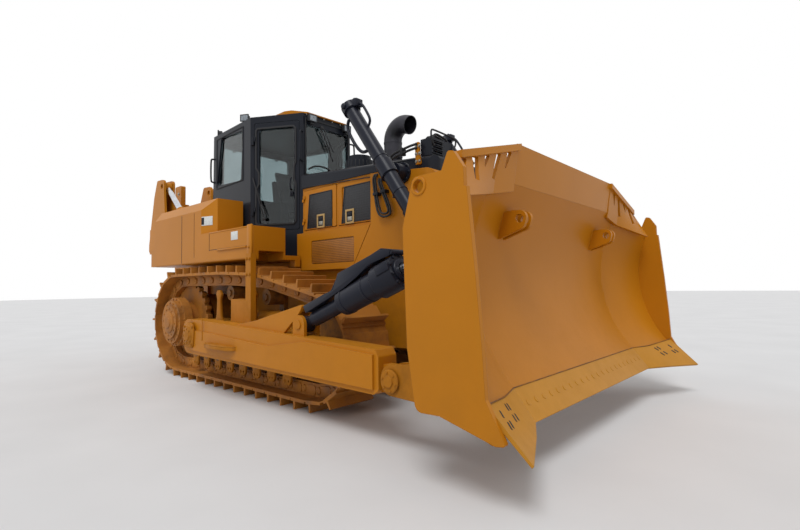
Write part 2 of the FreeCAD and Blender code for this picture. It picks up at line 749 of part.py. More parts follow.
def shrunk(rows):
    """Outline rows drawn in by the seat gap about their middle."""
    middle_a = sum(row[0] for row in rows) / len(rows)
    middle_b = sum(row[1] for row in rows) / len(rows)
    small = []
    for a, b, radius in rows:
        small.append((a - math.copysign(SEAT_GAP, a - middle_a), b - math.copysign(SEAT_GAP, b - middle_b),
                      radius))
    return small


def hinge_axis(side):
    """Plan point of the door's hinge, just outside the wall beside the middle pillar."""
    middle = (CAB_MIDDLE[0], side * CAB_MIDDLE[1])
    front = (CAB_FRONT[0], side * CAB_FRONT[1])
    way, _ = turned(middle, front)
    out = (way[1] * -side, way[0] * side)
    at = along(middle, way, DOOR_MARGIN - 4)
    return along(at, out, DOOR_HINGE_OUT)


def hinge_leaf(side, low, high, toward):
    """Leaf from the hinge's barrel to the pillar (-1) or to the door (1)."""
    start, end = door_wall(side)
    _, length = turned(start, end)
    at = DOOR_MARGIN - 4
    near, far = (at - 34, at) if toward < 0 else (at + DOOR_GAP * 2, at + 40)
    if side > 0:
        near, far = length - far, length - near
    rows = [(near, low), (far, low), (far, high), (near, high)]
    return wall_slab(start, end, rows, 0 if toward < 0 else -2, DOOR_HINGE_OUT + 5)


def make_doors():
    for side, name in ((-1, "right"), (1, "left")):
        start, end = door_wall(side)
        _, length = turned(start, end)
        low_s, high_s = DOOR_MARGIN + DOOR_GAP, length - DOOR_MARGIN - DOOR_GAP
        low, high = DOOR_BOTTOM + DOOR_GAP, DOOR_TOP - DOOR_GAP
        rows = [(low_s, low, 30), (high_s, low, 30), (high_s, high, 30), (low_s, high, 30)]
        glass = [(low_s + DOOR_FRAME, low + DOOR_FRAME, 70), (high_s - DOOR_FRAME, low + DOOR_FRAME, 70),
                 (high_s - DOOR_FRAME, high - DOOR_FRAME, 70), (low_s + DOOR_FRAME, high - DOOR_FRAME, 70)]
        frame = wall_slab(start, end, rows, -DOOR_THICK, 0)
        frame = frame.cut(wall_slab(start, end, glass, -DOOR_THICK - 1, 1))
        leaves = []
        axis = hinge_axis(side)
        for z in (DOOR_BOTTOM + 281, DOOR_TOP - 269):
            leaves.append(rod(V(axis[0], axis[1], z), V(axis[0], axis[1], z + 60), DOOR_HINGE_R))
            leaves.append(hinge_leaf(side, z, z + 60, 1))
        save("cab_door_" + name, join([frame] + leaves))
        save("door_glass_" + name, wall_slab(start, end, shrunk(glass), -26 - GLASS_THICK, -26))


def make_cab_inside():
    base = box((760, 1240), (-230, 230), (DECK_TOP + CAB_FLOOR, 2380))
    left_arm = box((820, 1330), (290, 420), (DECK_TOP + CAB_FLOOR, 2640))
    right_arm = box((820, 1330), (-420, -290), (DECK_TOP + CAB_FLOOR, 2640))
    dash = slab([(1700, DECK_TOP + CAB_FLOOR), (1860, DECK_TOP + CAB_FLOOR), (1860, 2560), (1790, 2620),
                 (1700, 2480)], "xz", -250, 250)
    save("cab_console", group([base, left_arm, right_arm, dash]))
    cushion = slab([(760, 2380, 40), (1280, 2380, 60), (1280, 2510, 50), (900, 2500, 60),
                    (800, 3120, 40), (690, 3110, 40)], "xz", -250, 250)
    save("seat", cushion)


# Hood and guard


def rounded_front(rear_x, front_x, half, radius):
    """Plan outline with both front corners rounded."""
    return [(rear_x, -half), (front_x, -half, radius), (front_x, half, radius), (rear_x, half)]


def make_hood():
    rear_low = COWL_REAR_TOP - COWL_SKIRT
    front_x = GUARD_FRONT_X - 50
    mid_low = rear_low - 8
    side = [(HOOD_REAR_X, rear_low), (GUARD_REAR_X, mid_low), (front_x, GUARD_TOP),
            (front_x, COWL_FRONT_TOP, 40), (HOOD_REAR_X, COWL_REAR_TOP)]
    hollow = [(HOOD_REAR_X + COWL_THICK, rear_low - 50), (GUARD_REAR_X, mid_low - 50),
              (front_x - COWL_THICK, GUARD_TOP - 60), (front_x - COWL_THICK, COWL_FRONT_TOP - COWL_THICK),
              (HOOD_REAR_X + COWL_THICK, COWL_REAR_TOP - COWL_THICK)]
    half = HOOD_HALF + COWL_OVER
    cowl = slab(side, "xz", -half, half)
    top_edges = [edge for edge in cowl.Edges
                 if edge.BoundBox.ZMin > COWL_FRONT_TOP - 45 and edge.BoundBox.YLength < 1
                 and edge.BoundBox.XLength > 500]
    cowl = cowl.makeFillet(45, top_edges)
    plan = rounded_front(HOOD_REAR_X, front_x, half, GUARD_CORNER_R)
    cowl = cowl.common(slab(plan, "xy", GUARD_TOP - 1, COWL_REAR_TOP + 1))
    room = slab(hollow, "xz", -HOOD_HALF - SEAT_GAP, HOOD_HALF + SEAT_GAP)
    plan = rounded_front(HOOD_REAR_X, front_x - COWL_THICK, HOOD_HALF + SEAT_GAP, GUARD_CORNER_R - COWL_THICK)
    room = room.common(slab(plan, "xy", GUARD_TOP - 100, COWL_REAR_TOP))
    save("hood_cowl", cowl.cut(room))
    wall = [(HOOD_REAR_X + 20 + SEAT_GAP, PANEL_BOTTOM), (GUARD_REAR_X - SEAT_GAP, PANEL_BOTTOM),
            (GUARD_REAR_X - SEAT_GAP, mid_low + 60), (HOOD_REAR_X + 20 + SEAT_GAP, rear_low + 60)]
    panel = slab(wall, "xz", HOOD_HALF - HOOD_WALL, HOOD_HALF)
    for _, rear_x, front, _ in HATCHES:
        hole = box((rear_x, front), (HOOD_HALF - HOOD_WALL - 1, HOOD_HALF + 1), (HATCH_BOTTOM, HATCH_TOP))
        panel = panel.cut(hole)
    bulkhead = box((HOOD_REAR_X + 20 + SEAT_GAP, HOOD_REAR_X + 45),
                   (-HOOD_HALF + HOOD_WALL, HOOD_HALF - HOOD_WALL),
                   (PANEL_BOTTOM, rear_low))
    barrels = []
    hinge_y = HOOD_HALF + HATCH_HINGE_OUT
    for _, rear_x, front, at_rear in HATCHES:
        axis_x = rear_x + 2 if at_rear else front - 2
        for z in (HATCH_BOTTOM + 80, HATCH_TOP - 160):
            barrels.append(rod(V(axis_x, hinge_y, z), V(axis_x, hinge_y, z + 40), HATCH_HINGE_R))
            reach = (axis_x - 26, axis_x) if at_rear else (axis_x, axis_x + 26)
            barrels.append(box(reach, (HOOD_HALF - 3, hinge_y + 4), (z, z + 40)))
    rows = [(LOWER_PANEL_REAR_X, PANEL_BOTTOM), (3186, PANEL_BOTTOM), (3278, 1706), (3508, LOWER_PANEL_TOP),
            (LOWER_PANEL_REAR_X, LOWER_PANEL_TOP)]
    lower = slab(rows, "xz", HOOD_HALF - 1, GUARD_HALF)
    mesh = [(2380, 1640, 20), (3224, 1640, 20), (3224, 1950, 20), (2380, 1950, 20)]
    lower = lower.cut(slab(mesh, "xz", GUARD_HALF - 30, GUARD_HALF + 1))
    panel = join([panel, lower] + barrels)
    save("hood_panels", join([panel, mirrored(panel), bulkhead]))
    for name, rear_x, front, at_rear in HATCHES:
        low, high = HATCH_BOTTOM + HATCH_GAP, HATCH_TOP - HATCH_GAP
        rows = [(rear_x + HATCH_GAP, low, 20), (front - HATCH_GAP, low, 20), (front - HATCH_GAP, high, 20),
                (rear_x + HATCH_GAP, high, 20)]
        hatch = slab(rows, "xz", HOOD_HALF - HATCH_THICK + 8, HOOD_HALF + 8)
        lean = HATCH_FRAME
        mesh = [(rear_x + HATCH_FRAME, low + 90, 25), (front - HATCH_FRAME, low + 90, 25),
                (front - HATCH_FRAME - (0 if at_rear else lean), high - 60, 25),
                (rear_x + HATCH_FRAME + (lean if at_rear else 0), high - 60, 25)]
        hatch = hatch.cut(slab(mesh, "xz", HOOD_HALF - 6, HOOD_HALF + 9))
        axis_x = rear_x + 2 if at_rear else front - 2
        leaves = []
        for z in (HATCH_BOTTOM + 121, HATCH_TOP - 119):
            leaves.append(rod(V(axis_x, hinge_y, z), V(axis_x, hinge_y, z + 40), HATCH_HINGE_R))
            reach = (axis_x, axis_x + 30) if at_rear else (axis_x - 30, axis_x)
            leaves.append(box(reach, (HOOD_HALF + 6, hinge_y + 4), (z, z + 40)))
        hatch = join([hatch] + leaves)
        save("hatch_" + name + "_left", hatch)
        save("hatch_" + name + "_right", mirrored(hatch))


def make_guard():
    """Radiator guard with the bearing housings that carry the lift cylinders' trunnions."""
    side = [(GUARD_REAR_X, PANEL_BOTTOM), (GUARD_FRONT_X, PANEL_BOTTOM, 40),
            (GUARD_FRONT_X, GUARD_TOP - 20, 80),
            (GUARD_FRONT_X - 60, GUARD_TOP), (GUARD_REAR_X, GUARD_TOP + 80)]
    plan = rounded_front(GUARD_REAR_X, GUARD_FRONT_X, GUARD_HALF, GUARD_CORNER_R)
    guard = slab(side, "xz", -GUARD_HALF, GUARD_HALF).common(slab(plan, "xy", PANEL_BOTTOM, GUARD_TOP + 80))
    plan = rounded_front(GUARD_REAR_X - 1, GUARD_FRONT_X - GUARD_WALL, GUARD_HALF - GUARD_WALL,
                         GUARD_CORNER_R - GUARD_WALL)
    room = slab(plan, "xy", PANEL_BOTTOM + GUARD_WALL, GUARD_TOP - GUARD_WALL - 20)
    face = GUARD_HALF - GUARD_CORNER_R - 10
    mouth = [(-face, 1640, 40), (face, 1640, 40), (face, 2500, 40), (-face, 2500, 40)]
    mouth = slab(mouth, "yz", GUARD_FRONT_X - GUARD_WALL - 1, GUARD_FRONT_X + 1)
    ear = [(GUARD_REAR_X + 1, GUARD_SIDE_TOP), (3287, 1704), (3196, 1574), (GUARD_REAR_X + 1, 1574)]
    ear = slab(ear, "xz", GUARD_HALF - GUARD_WALL, GUARD_HALF)
    notch = box((GUARD_REAR_X - 1, GUARD_FRONT_X + 1),
                (-HOOD_HALF - COWL_OVER - 1, HOOD_HALF + COWL_OVER + 1),
                (GUARD_TOP, GUARD_TOP + 100))
    guard = guard.cut([room, notch, mouth])
    save("radiator_guard", join([guard, ear, mirrored(ear)]))
    bars = []
    count = 14
    low, high = PANEL_BOTTOM + GUARD_WALL + 20, GUARD_TOP - GUARD_WALL - 60
    width = GUARD_HALF - GUARD_WALL
    for index in range(count):
        z = low + (high - low) * index / (count - 1)
        bars.append(box((GUARD_FRONT_X - 125, GUARD_FRONT_X - 96), (-width, width), (z, z + 18)))
    for y in (-360, -120, 120, 360):
        bars.append(box((GUARD_FRONT_X - 118, GUARD_FRONT_X - 101), (y - 8, y + 8), (low, high + 18)))
    save("radiator_grille", join(bars))
    housing = [pin_y(LIFT_PIVOT, GUARD_HALF, GUARD_HALF + 22, YOKE_FLANGE_R),
               pin_y(LIFT_PIVOT, GUARD_HALF, LIFT_Y - LIFT_BAND_R - 12, YOKE_R)]
    yoke = join(housing).cut(pin_y(LIFT_PIVOT, GUARD_HALF - 1, LIFT_Y, TRUNNION_R + PIN_GAP))
    save("lift_yokes", pair(yoke))


def cowl_top(x):
    """Height of the hood's top at a place along it."""
    share = (x - HOOD_REAR_X) / (GUARD_FRONT_X - 50 - HOOD_REAR_X)
    return COWL_REAR_TOP + (COWL_FRONT_TOP - COWL_REAR_TOP) * share


def make_hood_fittings():
    """Exhaust, air cleaner and lamp box, all standing on the hood's sloping top."""
    under = slab([(HOOD_REAR_X, 2000), (GUARD_FRONT_X, 2000), (GUARD_FRONT_X, cowl_top(GUARD_FRONT_X)),
                  (HOOD_REAR_X, cowl_top(HOOD_REAR_X))], "xz", -GUARD_HALF, GUARD_HALF)
    x, low, high = EXHAUST_X, cowl_top(EXHAUST_X) - 60, EXHAUST_TOP
    stack = [rod(V(x, 0, low), V(x, 0, EXHAUST_STEP), EXHAUST_R - 15),
             rod(V(x, 0, EXHAUST_STEP), V(x, 0, high), EXHAUST_R), bent_end(V(x, 0, high), EXHAUST_R)]
    save("exhaust_pipe", join(stack).cut([under, bent_end(V(x, 0, high), EXHAUST_R - EXHAUST_WALL)]))
    x, low = CLEANER_X, cowl_top(CLEANER_X)
    cleaner = [rod(V(x, 0, low - 60), V(x, 0, low + 80), CLEANER_R * 0.45),
               rod(V(x, 0, low + 80), V(x, 0, CLEANER_TOP - 60), CLEANER_R),
               rod(V(x, 0, CLEANER_TOP - 60), V(x, 0, CLEANER_TOP), CLEANER_R * 0.8)]
    save("precleaner", join(cleaner).cut(under))
    lamps = box(LAMP_BOX_X, LAMP_BOX_Y, (cowl_top(LAMP_BOX_X[1]) - 60, LAMP_BOX_TOP))
    width = LAMP_BOX_SPLIT - LAMP_BOX_Y[0]
    for index in range(3):
        z = 2800 + 48 * index
        lamps = lamps.cut(box((LAMP_BOX_X[1] - 25, LAMP_BOX_X[1] + 1),
                              (LAMP_BOX_Y[0] + 25, LAMP_BOX_Y[0] + width - 25),
                              (z, z + 22)))
    save("lamp_box", lamps.cut(under))
    arm = [(4140, 2680, 10), (4215, 2680, 10), (4196, 2790, 60), (4195, 2930, 15), (4133, 2930, 15),
           (4136, 2790, 60)]
    side_y = HOOD_HALF + COWL_OVER
    save("hose_brackets", pair(slab(arm, "xz", side_y, side_y + 22)))


def bent_end(start, radius):
    """Exhaust's end, which turns from straight up to forward and a little down."""
    turn = math.radians(EXHAUST_TURN)
    centre = V(start.x + EXHAUST_BEND_R, start.y, start.z)
    ring = Part.Face(Part.Wire(Part.makeCircle(radius, start, V(0, 0, 1))))
    bend = ring.revolve(centre, V(0, 1, 0), EXHAUST_TURN)
    tip = centre + V(-EXHAUST_BEND_R * math.cos(turn), 0, EXHAUST_BEND_R * math.sin(turn))
    way = V(math.sin(turn), 0, math.cos(turn))
    return join([bend, rod(tip, tip + way * EXHAUST_END, radius)])


# Blade and its linkage


def blade_arc(depth):
    """Start, middle and end of the mouldboard's arc at a depth behind its face."""
    bottom, top = BLADE_BOTTOM, BLADE_TOP
    way, chord = turned(bottom, top)
    ahead = (way[1], -way[0])
    rise = math.sqrt(BLADE_BEND_R ** 2 - (chord / 2) ** 2)
    middle = ((bottom[0] + top[0]) / 2, (bottom[1] + top[1]) / 2)
    centre = (middle[0] + ahead[0] * rise, middle[1] + ahead[1] * rise)
    radius = BLADE_BEND_R + depth
    ends = []
    for end in (bottom, top):
        out, _ = turned(centre, end)
        ends.append((centre[0] + out[0] * radius, centre[1] + out[1] * radius))
    deep = (centre[0] - ahead[0] * radius, centre[1] - ahead[1] * radius)
    return ends[0], deep, ends[1]


def blade_sweep(runs, wing_end):
    """Side outline carried across the straight middle and along both forward wings."""
    flat = face_of(runs, "xz", -BLADE_FOLD_Y).extrude(V(0, 2 * BLADE_FOLD_Y, 0))
    span = wing_end - BLADE_FOLD_Y
    reach = WING_FORWARD * span / (BLADE_HALF - BLADE_FOLD_Y)
    wing = face_of(runs, "xz", BLADE_FOLD_Y).extrude(V(reach, span, 0))
    return join([flat, wing, mirrored(wing)])


def wing_shift(y):
    """How far forward the wing stands at a distance y from the middle."""
    return WING_FORWARD * max(0, abs(y) - BLADE_FOLD_Y) / (BLADE_HALF - BLADE_FOLD_Y)


def ahead_of_back():
    """Everything ahead of the mouldboard's rear face."""
    low, deep, top = blade_arc(BLADE_PLATE)
    far = BLADE_BOTTOM[0] + 900
    way, _ = turned(BLADE_BOTTOM, EDGE_TIP)
    edge = along(along(BLADE_BOTTOM, (way[1], -way[0]), EDGE_THICK + 1), way, 0)
    foot = along(edge, way, 500)
    corners = [top, (top[0], top[1] + 600), (far, top[1] + 600), (far, foot[1]), foot, edge, low]
    runs = [("arc", low, deep, top, 0)]
    runs += [("line", first, second) for first, second in zip(corners, corners[1:])]
    return blade_sweep(runs, BLADE_HALF + 50)


def make_blade():
    face, back = blade_arc(0), blade_arc(BLADE_PLATE)
    inner_end = BLADE_HALF - END_PLATE
    runs = [("arc", face[0], face[1], face[2], 0), ("line", face[2], back[2]),
            ("arc", back[2], back[1], back[0], 0), ("line", back[0], face[0])]
    board = blade_sweep(runs, inner_end)
    slope = [(SPILL_HALF, BLADE_TOP[1] + 60), (SPILL_HALF, BLADE_TOP[1]), (BLADE_HALF, WING_TOP_END),
             (BLADE_HALF, BLADE_TOP[1] + 60)]
    wedge = slab(slope, "yz", BLADE_TOP[0] - 300, BLADE_TOP[0] + 500)
    board = board.cut([wedge, mirrored(wedge)])
    lugs = []
    hx, hz = BLADE_LUG_HOLE
    for near in (-62, 27):
        rows = [(hx + 40, hz - 75, 60), (hx + 75, hz + 60, 60), (hx - 60, hz + 75, 60)]
        rows += [(face_x(z) - BLADE_PLATE / 2, z) for z in (hz + 60, hz - 20, hz - 90, hz - 160)]
        lug = slab(rows, "xz", BLADE_LUG_Y + near, BLADE_LUG_Y + near + 35)
        lugs.append(lug.cut(pin_y(BLADE_LUG_HOLE, BLADE_LUG_Y + near - 1, BLADE_LUG_Y + near + 36,
                                  BLADE_LUG_HOLE_R)))
    save("mouldboard", join([board] + lugs + [mirrored(lug) for lug in lugs]))
    save("end_plates", pair(end_plate()))
    save("cutting_edges", make_edges())
    save("spill_guard", make_spill_guard())
    save("blade_back", make_blade_back())


def face_x(z):
    """Forward position of the mouldboard's face at a height."""
    low, deep, top = blade_arc(0)
    way, chord = turned(BLADE_BOTTOM, BLADE_TOP)
    ahead = (way[1], -way[0])
    centre = (deep[0] + ahead[0] * BLADE_BEND_R, deep[1] + ahead[1] * BLADE_BEND_R)
    return centre[0] - math.sqrt(BLADE_BEND_R ** 2 - (z - centre[1]) ** 2)


def end_plate():
    rows = [(5382, 1727), (5409, 917), (5476, 512, 60), (5670, 517, 40), (6068, 414, 30), (6138, 424, 15),
            (6008, 664), (5992, 963), (5956, 1408), (5905, WING_TOP_END), (5888, WING_TOP_END), (5885, 2060),
            (5813, 2171, 20), (5769, 2180, 20), (5718, 2063), (5480, 2057, 50)]
    plate = slab(rows, "xz", BLADE_HALF - END_PLATE, BLADE_HALF)
    plate = plate.cut(pin_y((5530, 1990), BLADE_HALF - END_PLATE - 1, BLADE_HALF + 1, 42))
    return plate


def edge_section(y, top, tip):
    """Four corners of the edge plate's section, its face on the line top to tip."""
    way, _ = turned(top, tip)
    back = (way[1], -way[0])
    far_top = along(top, back, EDGE_THICK)
    far_tip = along(tip, back, EDGE_THICK * 0.5)
    return [V(p[0], y, p[1]) for p in (top, tip, far_tip, far_top)]


def loft(first, second):
    wires = [Part.makePolygon(section + section[:1]) for section in (first, second)]
    return Part.makeLoft(wires, True, True)


def make_edges():
    top, tip = BLADE_BOTTOM, EDGE_TIP
    middle = loft(edge_section(-BLADE_FOLD_Y, top, tip), edge_section(BLADE_FOLD_Y, top, tip))
    shift = wing_shift(WING_EDGE_Y)
    flare = 60
    wing_top = (top[0] + shift, top[1])
    wing_tip = (tip[0] + shift + flare, tip[1])
    wing = loft(edge_section(BLADE_FOLD_Y, top, tip), edge_section(WING_EDGE_Y, wing_top, wing_tip))
    bit_y = BLADE_HALF - 30
    bit = loft(edge_section(WING_EDGE_Y, wing_top, wing_tip),
               edge_section(bit_y, (END_BIT_TOP[0], END_BIT_TOP[2]), (END_BIT_TIP[0], END_BIT_TIP[2])))
    solids = join([middle, wing, bit, mirrored(wing), mirrored(bit)])
    plates = end_plate()
    return solids.cut([plates, mirrored(plates), nodes["mouldboard"]])


def spill_edges(y):
    """Foot and head of the wing's guard sheet at a place across: x and z of each."""
    share = (y - SPILL_HALF) / (RAIL_END[1] - SPILL_HALF)
    foot_x = BLADE_TOP[0] - BLADE_PLATE + wing_shift(y)
    foot_z = BLADE_TOP[1] + (WING_TOP_END - BLADE_TOP[1]) * (y - SPILL_HALF) / (BLADE_HALF - SPILL_HALF)
    head_x = SPILL_TOP[0] - BLADE_PLATE + (RAIL_END[0] - SPILL_TOP[0] + BLADE_PLATE) * min(share, 1)
    head_z = SPILL_TOP[1] + (RAIL_END[2] - SPILL_TOP[1]) * share - RAIL_SIZE / 2
    return foot_x, foot_z, head_x, head_z


def spill_sheet():
    """Slotted sheet between the wing's top edge and the sloping rail."""
    sections = []
    for y in (SPILL_HALF - 1, BLADE_FOLD_Y, RAIL_END[1], SPILL_POST[0]):
        foot_x, foot_z, head_x, head_z = spill_edges(y)
        head_z = min(head_z, SPILL_POST[1]) if y == SPILL_POST[0] else head_z
        foot_z -= 60
        sections.append([V(foot_x, y, foot_z), V(foot_x + SPILL_SHEET, y, foot_z),
                         V(head_x + SPILL_SHEET, y, head_z),
                         V(head_x, y, head_z)])
    sheet = join([loft(first, second) for first, second in zip(sections, sections[1:])])
    slots = []
    for head_in, head_out, foot_in, foot_out, share in SPILL_SLOTS:
        _, foot_z, _, head_z = spill_edges((head_in + head_out) / 2)
        head_z -= RAIL_SIZE / 2 + 2
        low_z = head_z - (head_z - foot_z - 40) * share
        rows = [(foot_in, low_z), (foot_out, low_z), (head_out, head_z), (head_in, head_z)]
        slots.append(slab(rows, "yz", BLADE_TOP[0] - 300, BLADE_TOP[0] + 500))
    return sheet.cut(slots)


def make_spill_guard():
    back_x = BLADE_TOP[0] - BLADE_PLATE
    rows = [(BLADE_TOP[0], BLADE_TOP[1]), (SPILL_TOP[0], SPILL_TOP[1]),
            (SPILL_TOP[0] - BLADE_PLATE, SPILL_TOP[1]),
            (back_x, BLADE_TOP[1])]
    plate = slab(rows, "xz", -SPILL_HALF, SPILL_HALF)
    pieces = [plate]
    start = V(SPILL_TOP[0] - BLADE_PLATE, SPILL_HALF - 20, SPILL_TOP[1] - RAIL_SIZE)
    end = V(RAIL_END[0], RAIL_END[1], RAIL_END[2] - RAIL_SIZE)
    rail = loft([start, start + V(RAIL_SIZE, 0, 0), start + V(RAIL_SIZE, 0, RAIL_SIZE),
                 start + V(0, 0, RAIL_SIZE)],
                [end, end + V(RAIL_SIZE, 0, 0), end + V(RAIL_SIZE, 0, RAIL_SIZE), end + V(0, 0, RAIL_SIZE)])
    wing = join([rail, spill_sheet()])
    pieces += [wing, mirrored(wing)]
    return join(pieces).cut([nodes["mouldboard"], nodes["end_plates"]])


def make_blade_back():
    """Stiffening boxes, ribs and forks on the mouldboard's rear."""
    low_box = [(5560, 485), (5800, 400), (5800, 540), (5560, 540)]
    mid_rib = [(5330, 1180), (5800, 1180), (5800, 1240), (5330, 1240)]
    top_box = [(5330, 1880), (5800, 1880), (5800, 2080), (5330, 2080)]
    wing_end = BLADE_HALF - END_PLATE
    pieces = [blade_sweep(outline(rows), wing_end) for rows in (low_box, mid_rib, top_box)]
    slope = [(SPILL_HALF, BLADE_TOP[1] + 60), (SPILL_HALF, BLADE_TOP[1] - 10),
             (BLADE_HALF, WING_TOP_END - 10),
             (BLADE_HALF, BLADE_TOP[1] + 60)]
    wedge = slab(slope, "yz", 5000, 6400)
    upright = [(5500, 400), (5900, 400), (5900, 2080), (5330, 2080), (5330, 1180), (5420, 900)]
    for y in (0, 400, 1180):
        for side in (-1, 1):
            if y or side > 0:
                pieces.append(slab(upright, "xz", side * y - 20, side * y + 20))
    ex, ez = LIFT_EYE
    fork = [(ex - 60, ez - 85, 70), (ex - 90, ez + 90, 80), (5600, 1180), (5800, 1000), (5800, 400),
            (5500, 400)]
    gap = LIFT_EYE_HALF + 15
    for low in (LIFT_Y - gap - FORK_PLATE, LIFT_Y + gap):
        plate = slab(fork, "xz", low, low + FORK_PLATE)
        plate = plate.cut(pin_y(LIFT_EYE, low - 1, low + FORK_PLATE + 1, ARM_PIN_R))
        pieces += [plate, mirrored(plate)]
    ax, az = ARM_PIN
    hook = [(ax - ARM_EYE_R, az - ARM_EYE_R, 110), (ax - ARM_EYE_R, az + ARM_EYE_R, 110), (5420, 760, 80),
            (5500, 1180), (5900, 1180), (5900, 400), (5350, 430, 60)]
    gap = ARM_EYE_HALF + SIDE_GAP
    for low in (ARM_EYE_Y - gap - FORK_PLATE, ARM_EYE_Y + gap):
        plate = slab(hook, "xz", low, low + FORK_PLATE)
        pieces += [plate, mirrored(plate)]
    reach = gap + FORK_PLATE + PROUD
    pin = pin_y(ARM_PIN, ARM_EYE_Y - reach, ARM_EYE_Y + reach, ARM_PIN_R)
    pieces += [pin, mirrored(pin)]
    sx, sz = STRUT_HIGH
    ear = [(sx - 80, sz - 70, 70), (sx - 70, sz + 90, 70), (5600, 1880), (5700, 1880), (5700, 1240),
           (5420, 1240)]
    gap = STRUT_EYE_HALF + 15
    for low in (STRUT_Y - gap - FORK_PLATE, STRUT_Y + gap):
        plate = slab(ear, "xz", low, low + FORK_PLATE)
        plate = plate.cut(pin_y(STRUT_HIGH, low - 1, low + FORK_PLATE + 1, STRUT_PIN_R))
        pieces += [plate, mirrored(plate)]
    back = join(pieces).cut([ahead_of_back(), wedge, mirrored(wedge), nodes["cutting_edges"]])
    return max(back.Solids, key=lambda solid: solid.Volume)


def make_push_arms():
    rows = [(ARM_REAR_X, ARM_REAR_BOTTOM, 150), (ARM_REAR_X, ARM_REAR_TOP, 150), (1600, ARM_REAR_TOP - 10),
            (ARM_FRONT_X - 40, ARM_FRONT_TOP, 20), (ARM_FRONT_X, ARM_FRONT_TOP - 60, 30),
            (ARM_FRONT_X, ARM_FRONT_BOTTOM + 40, 30), (ARM_FRONT_X - 60, ARM_FRONT_BOTTOM, 20)]
    beam = slab(rows, "xz", ARM_INNER, ARM_OUTER)
    ax, az = ARM_PIN
    neck = [(ARM_FRONT_X - 80, az - ARM_EYE_R), (ax + ARM_EYE_R, az - ARM_EYE_R, ARM_EYE_R - 2),
            (ax + ARM_EYE_R, az + ARM_EYE_R, ARM_EYE_R - 2), (ARM_FRONT_X - 80, az + ARM_EYE_R)]
    eye = slab(neck, "xz", ARM_EYE_Y - ARM_EYE_HALF, ARM_EYE_Y + ARM_EYE_HALF)
    sx, sz = STRUT_LOW
    wing = [(2340, 880), (2340, 905), (2756, 971), (3628, 1166, 15), (3594, 1108), (3533, 1043), (3345, 901),
            (3300, 860)]
    ear = [(sx - 95, 830), (sx - 95, sz + 95, 94), (sx + 95, sz + 95, 94), (sx + 95, 830)]
    gap = STRUT_EYE_HALF + SIDE_GAP
    plates = [slab(ear, "xz", STRUT_Y - gap - 35, STRUT_Y - gap),
              slab(ear, "xz", STRUT_Y + gap, STRUT_Y + gap + 35),
              slab(wing, "xz", STRUT_Y + gap, STRUT_Y + gap + 35)]
    pin = pin_y(STRUT_LOW, STRUT_Y - gap - 35 - PROUD, STRUT_Y + gap + 35 + PROUD, STRUT_PIN_R)
    doubler = [(1150, 540, 60), (1150, 800, 30), (1803, 785), (3101, 722), (3724, 812), (4680, 768),
               (4680, 480),
               (3000, 500)]
    cover = slab(doubler, "xz", ARM_OUTER, ARM_OUTER + 22)
    arm = join([beam, eye, pin, cover] + plates)
    arm = arm.cut([pin_y(ARM_PIVOT, ARM_INNER - 1, ARM_OUTER + 40, ARM_PIVOT_R + PIN_GAP),
                   pin_y(ARM_PIN, ARM_INNER - 1, ARM_OUTER + 1, ARM_PIN_R + PIN_GAP)])
    save("push_arms", pair(arm))


def line_points(low, high, y):
    """Functions for points at a distance from the low eye towards the high eye."""
    way, length = turned(low, high)

    def at(distance):
        spot = along(low, way, distance)
        return V(spot[0], y, spot[1])
    return at, length


def make_struts():
    for side, barrel_name, rod_name in ((-1, "tilt_barrel", "tilt_rod"), (1, "brace_tube", "brace_screw")):
        y = side * STRUT_Y
        at, length = line_points(STRUT_LOW, STRUT_HIGH, y)
        eye = pin_y(STRUT_LOW, y - STRUT_EYE_HALF, y + STRUT_EYE_HALF, STRUT_EYE_R)
        bore = pin_y(STRUT_LOW, y - STRUT_EYE_HALF - 1, y + STRUT_EYE_HALF + 1, STRUT_PIN_R + PIN_GAP)
        if side < 0:
            cover = [(3674, 1164, 10), (4063, 1301, 40), (4147, 1423, 40), (4719, 1655, 30), (4834, 1641, 20),
                     (4847, 1599, 15), (4708, 1578, 20), (3684, 1082, 10)]
            lower = [rod(at(STRUT_NECK), at(STRUT_BARREL_FROM + 1), STRUT_TUBE_R),
                     rod(at(STRUT_BARREL_FROM), at(STRUT_FLANGE_FROM + 1), STRUT_BARREL_R),
                     rod(at(STRUT_FLANGE_FROM), at(STRUT_BARREL_TO), STRUT_FLANGE_R),
                     slab(cover, "xz", y - 95, y + 60)]
            hollow_from, radius = STRUT_BARREL_FROM + 40, STRUT_ROD_R
        else:
            lower = [rod(at(STRUT_NECK), at(STRUT_BARREL_TO - 60), BRACE_R),
                     rod(at(STRUT_BARREL_TO - 140), at(STRUT_BARREL_TO - 60), BRACE_R + 14)]
            hollow_from, radius = STRUT_BARREL_FROM + 40, BRACE_SCREW_R
        neck = rod(at(STRUT_PIN_R + 10), at(STRUT_NECK + 1), STRUT_NECK_R)
        barrel = join([eye, neck] + lower)
        hollow = rod(at(hollow_from), at(STRUT_BARREL_TO + 1), radius + PIN_GAP)
        save(barrel_name, barrel.cut([bore, hollow]))
        end_eye = pin_y(STRUT_HIGH, y - STRUT_EYE_HALF, y + STRUT_EYE_HALF, STRUT_EYE_R)
        end_hole = pin_y(STRUT_HIGH, y - STRUT_EYE_HALF - 1, y + STRUT_EYE_HALF + 1, STRUT_PIN_R)
        piston = join([rod(at(length - STRUT_ROD_LENGTH), at(length - 62), radius), end_eye])
        save(rod_name, piston.cut(end_hole))


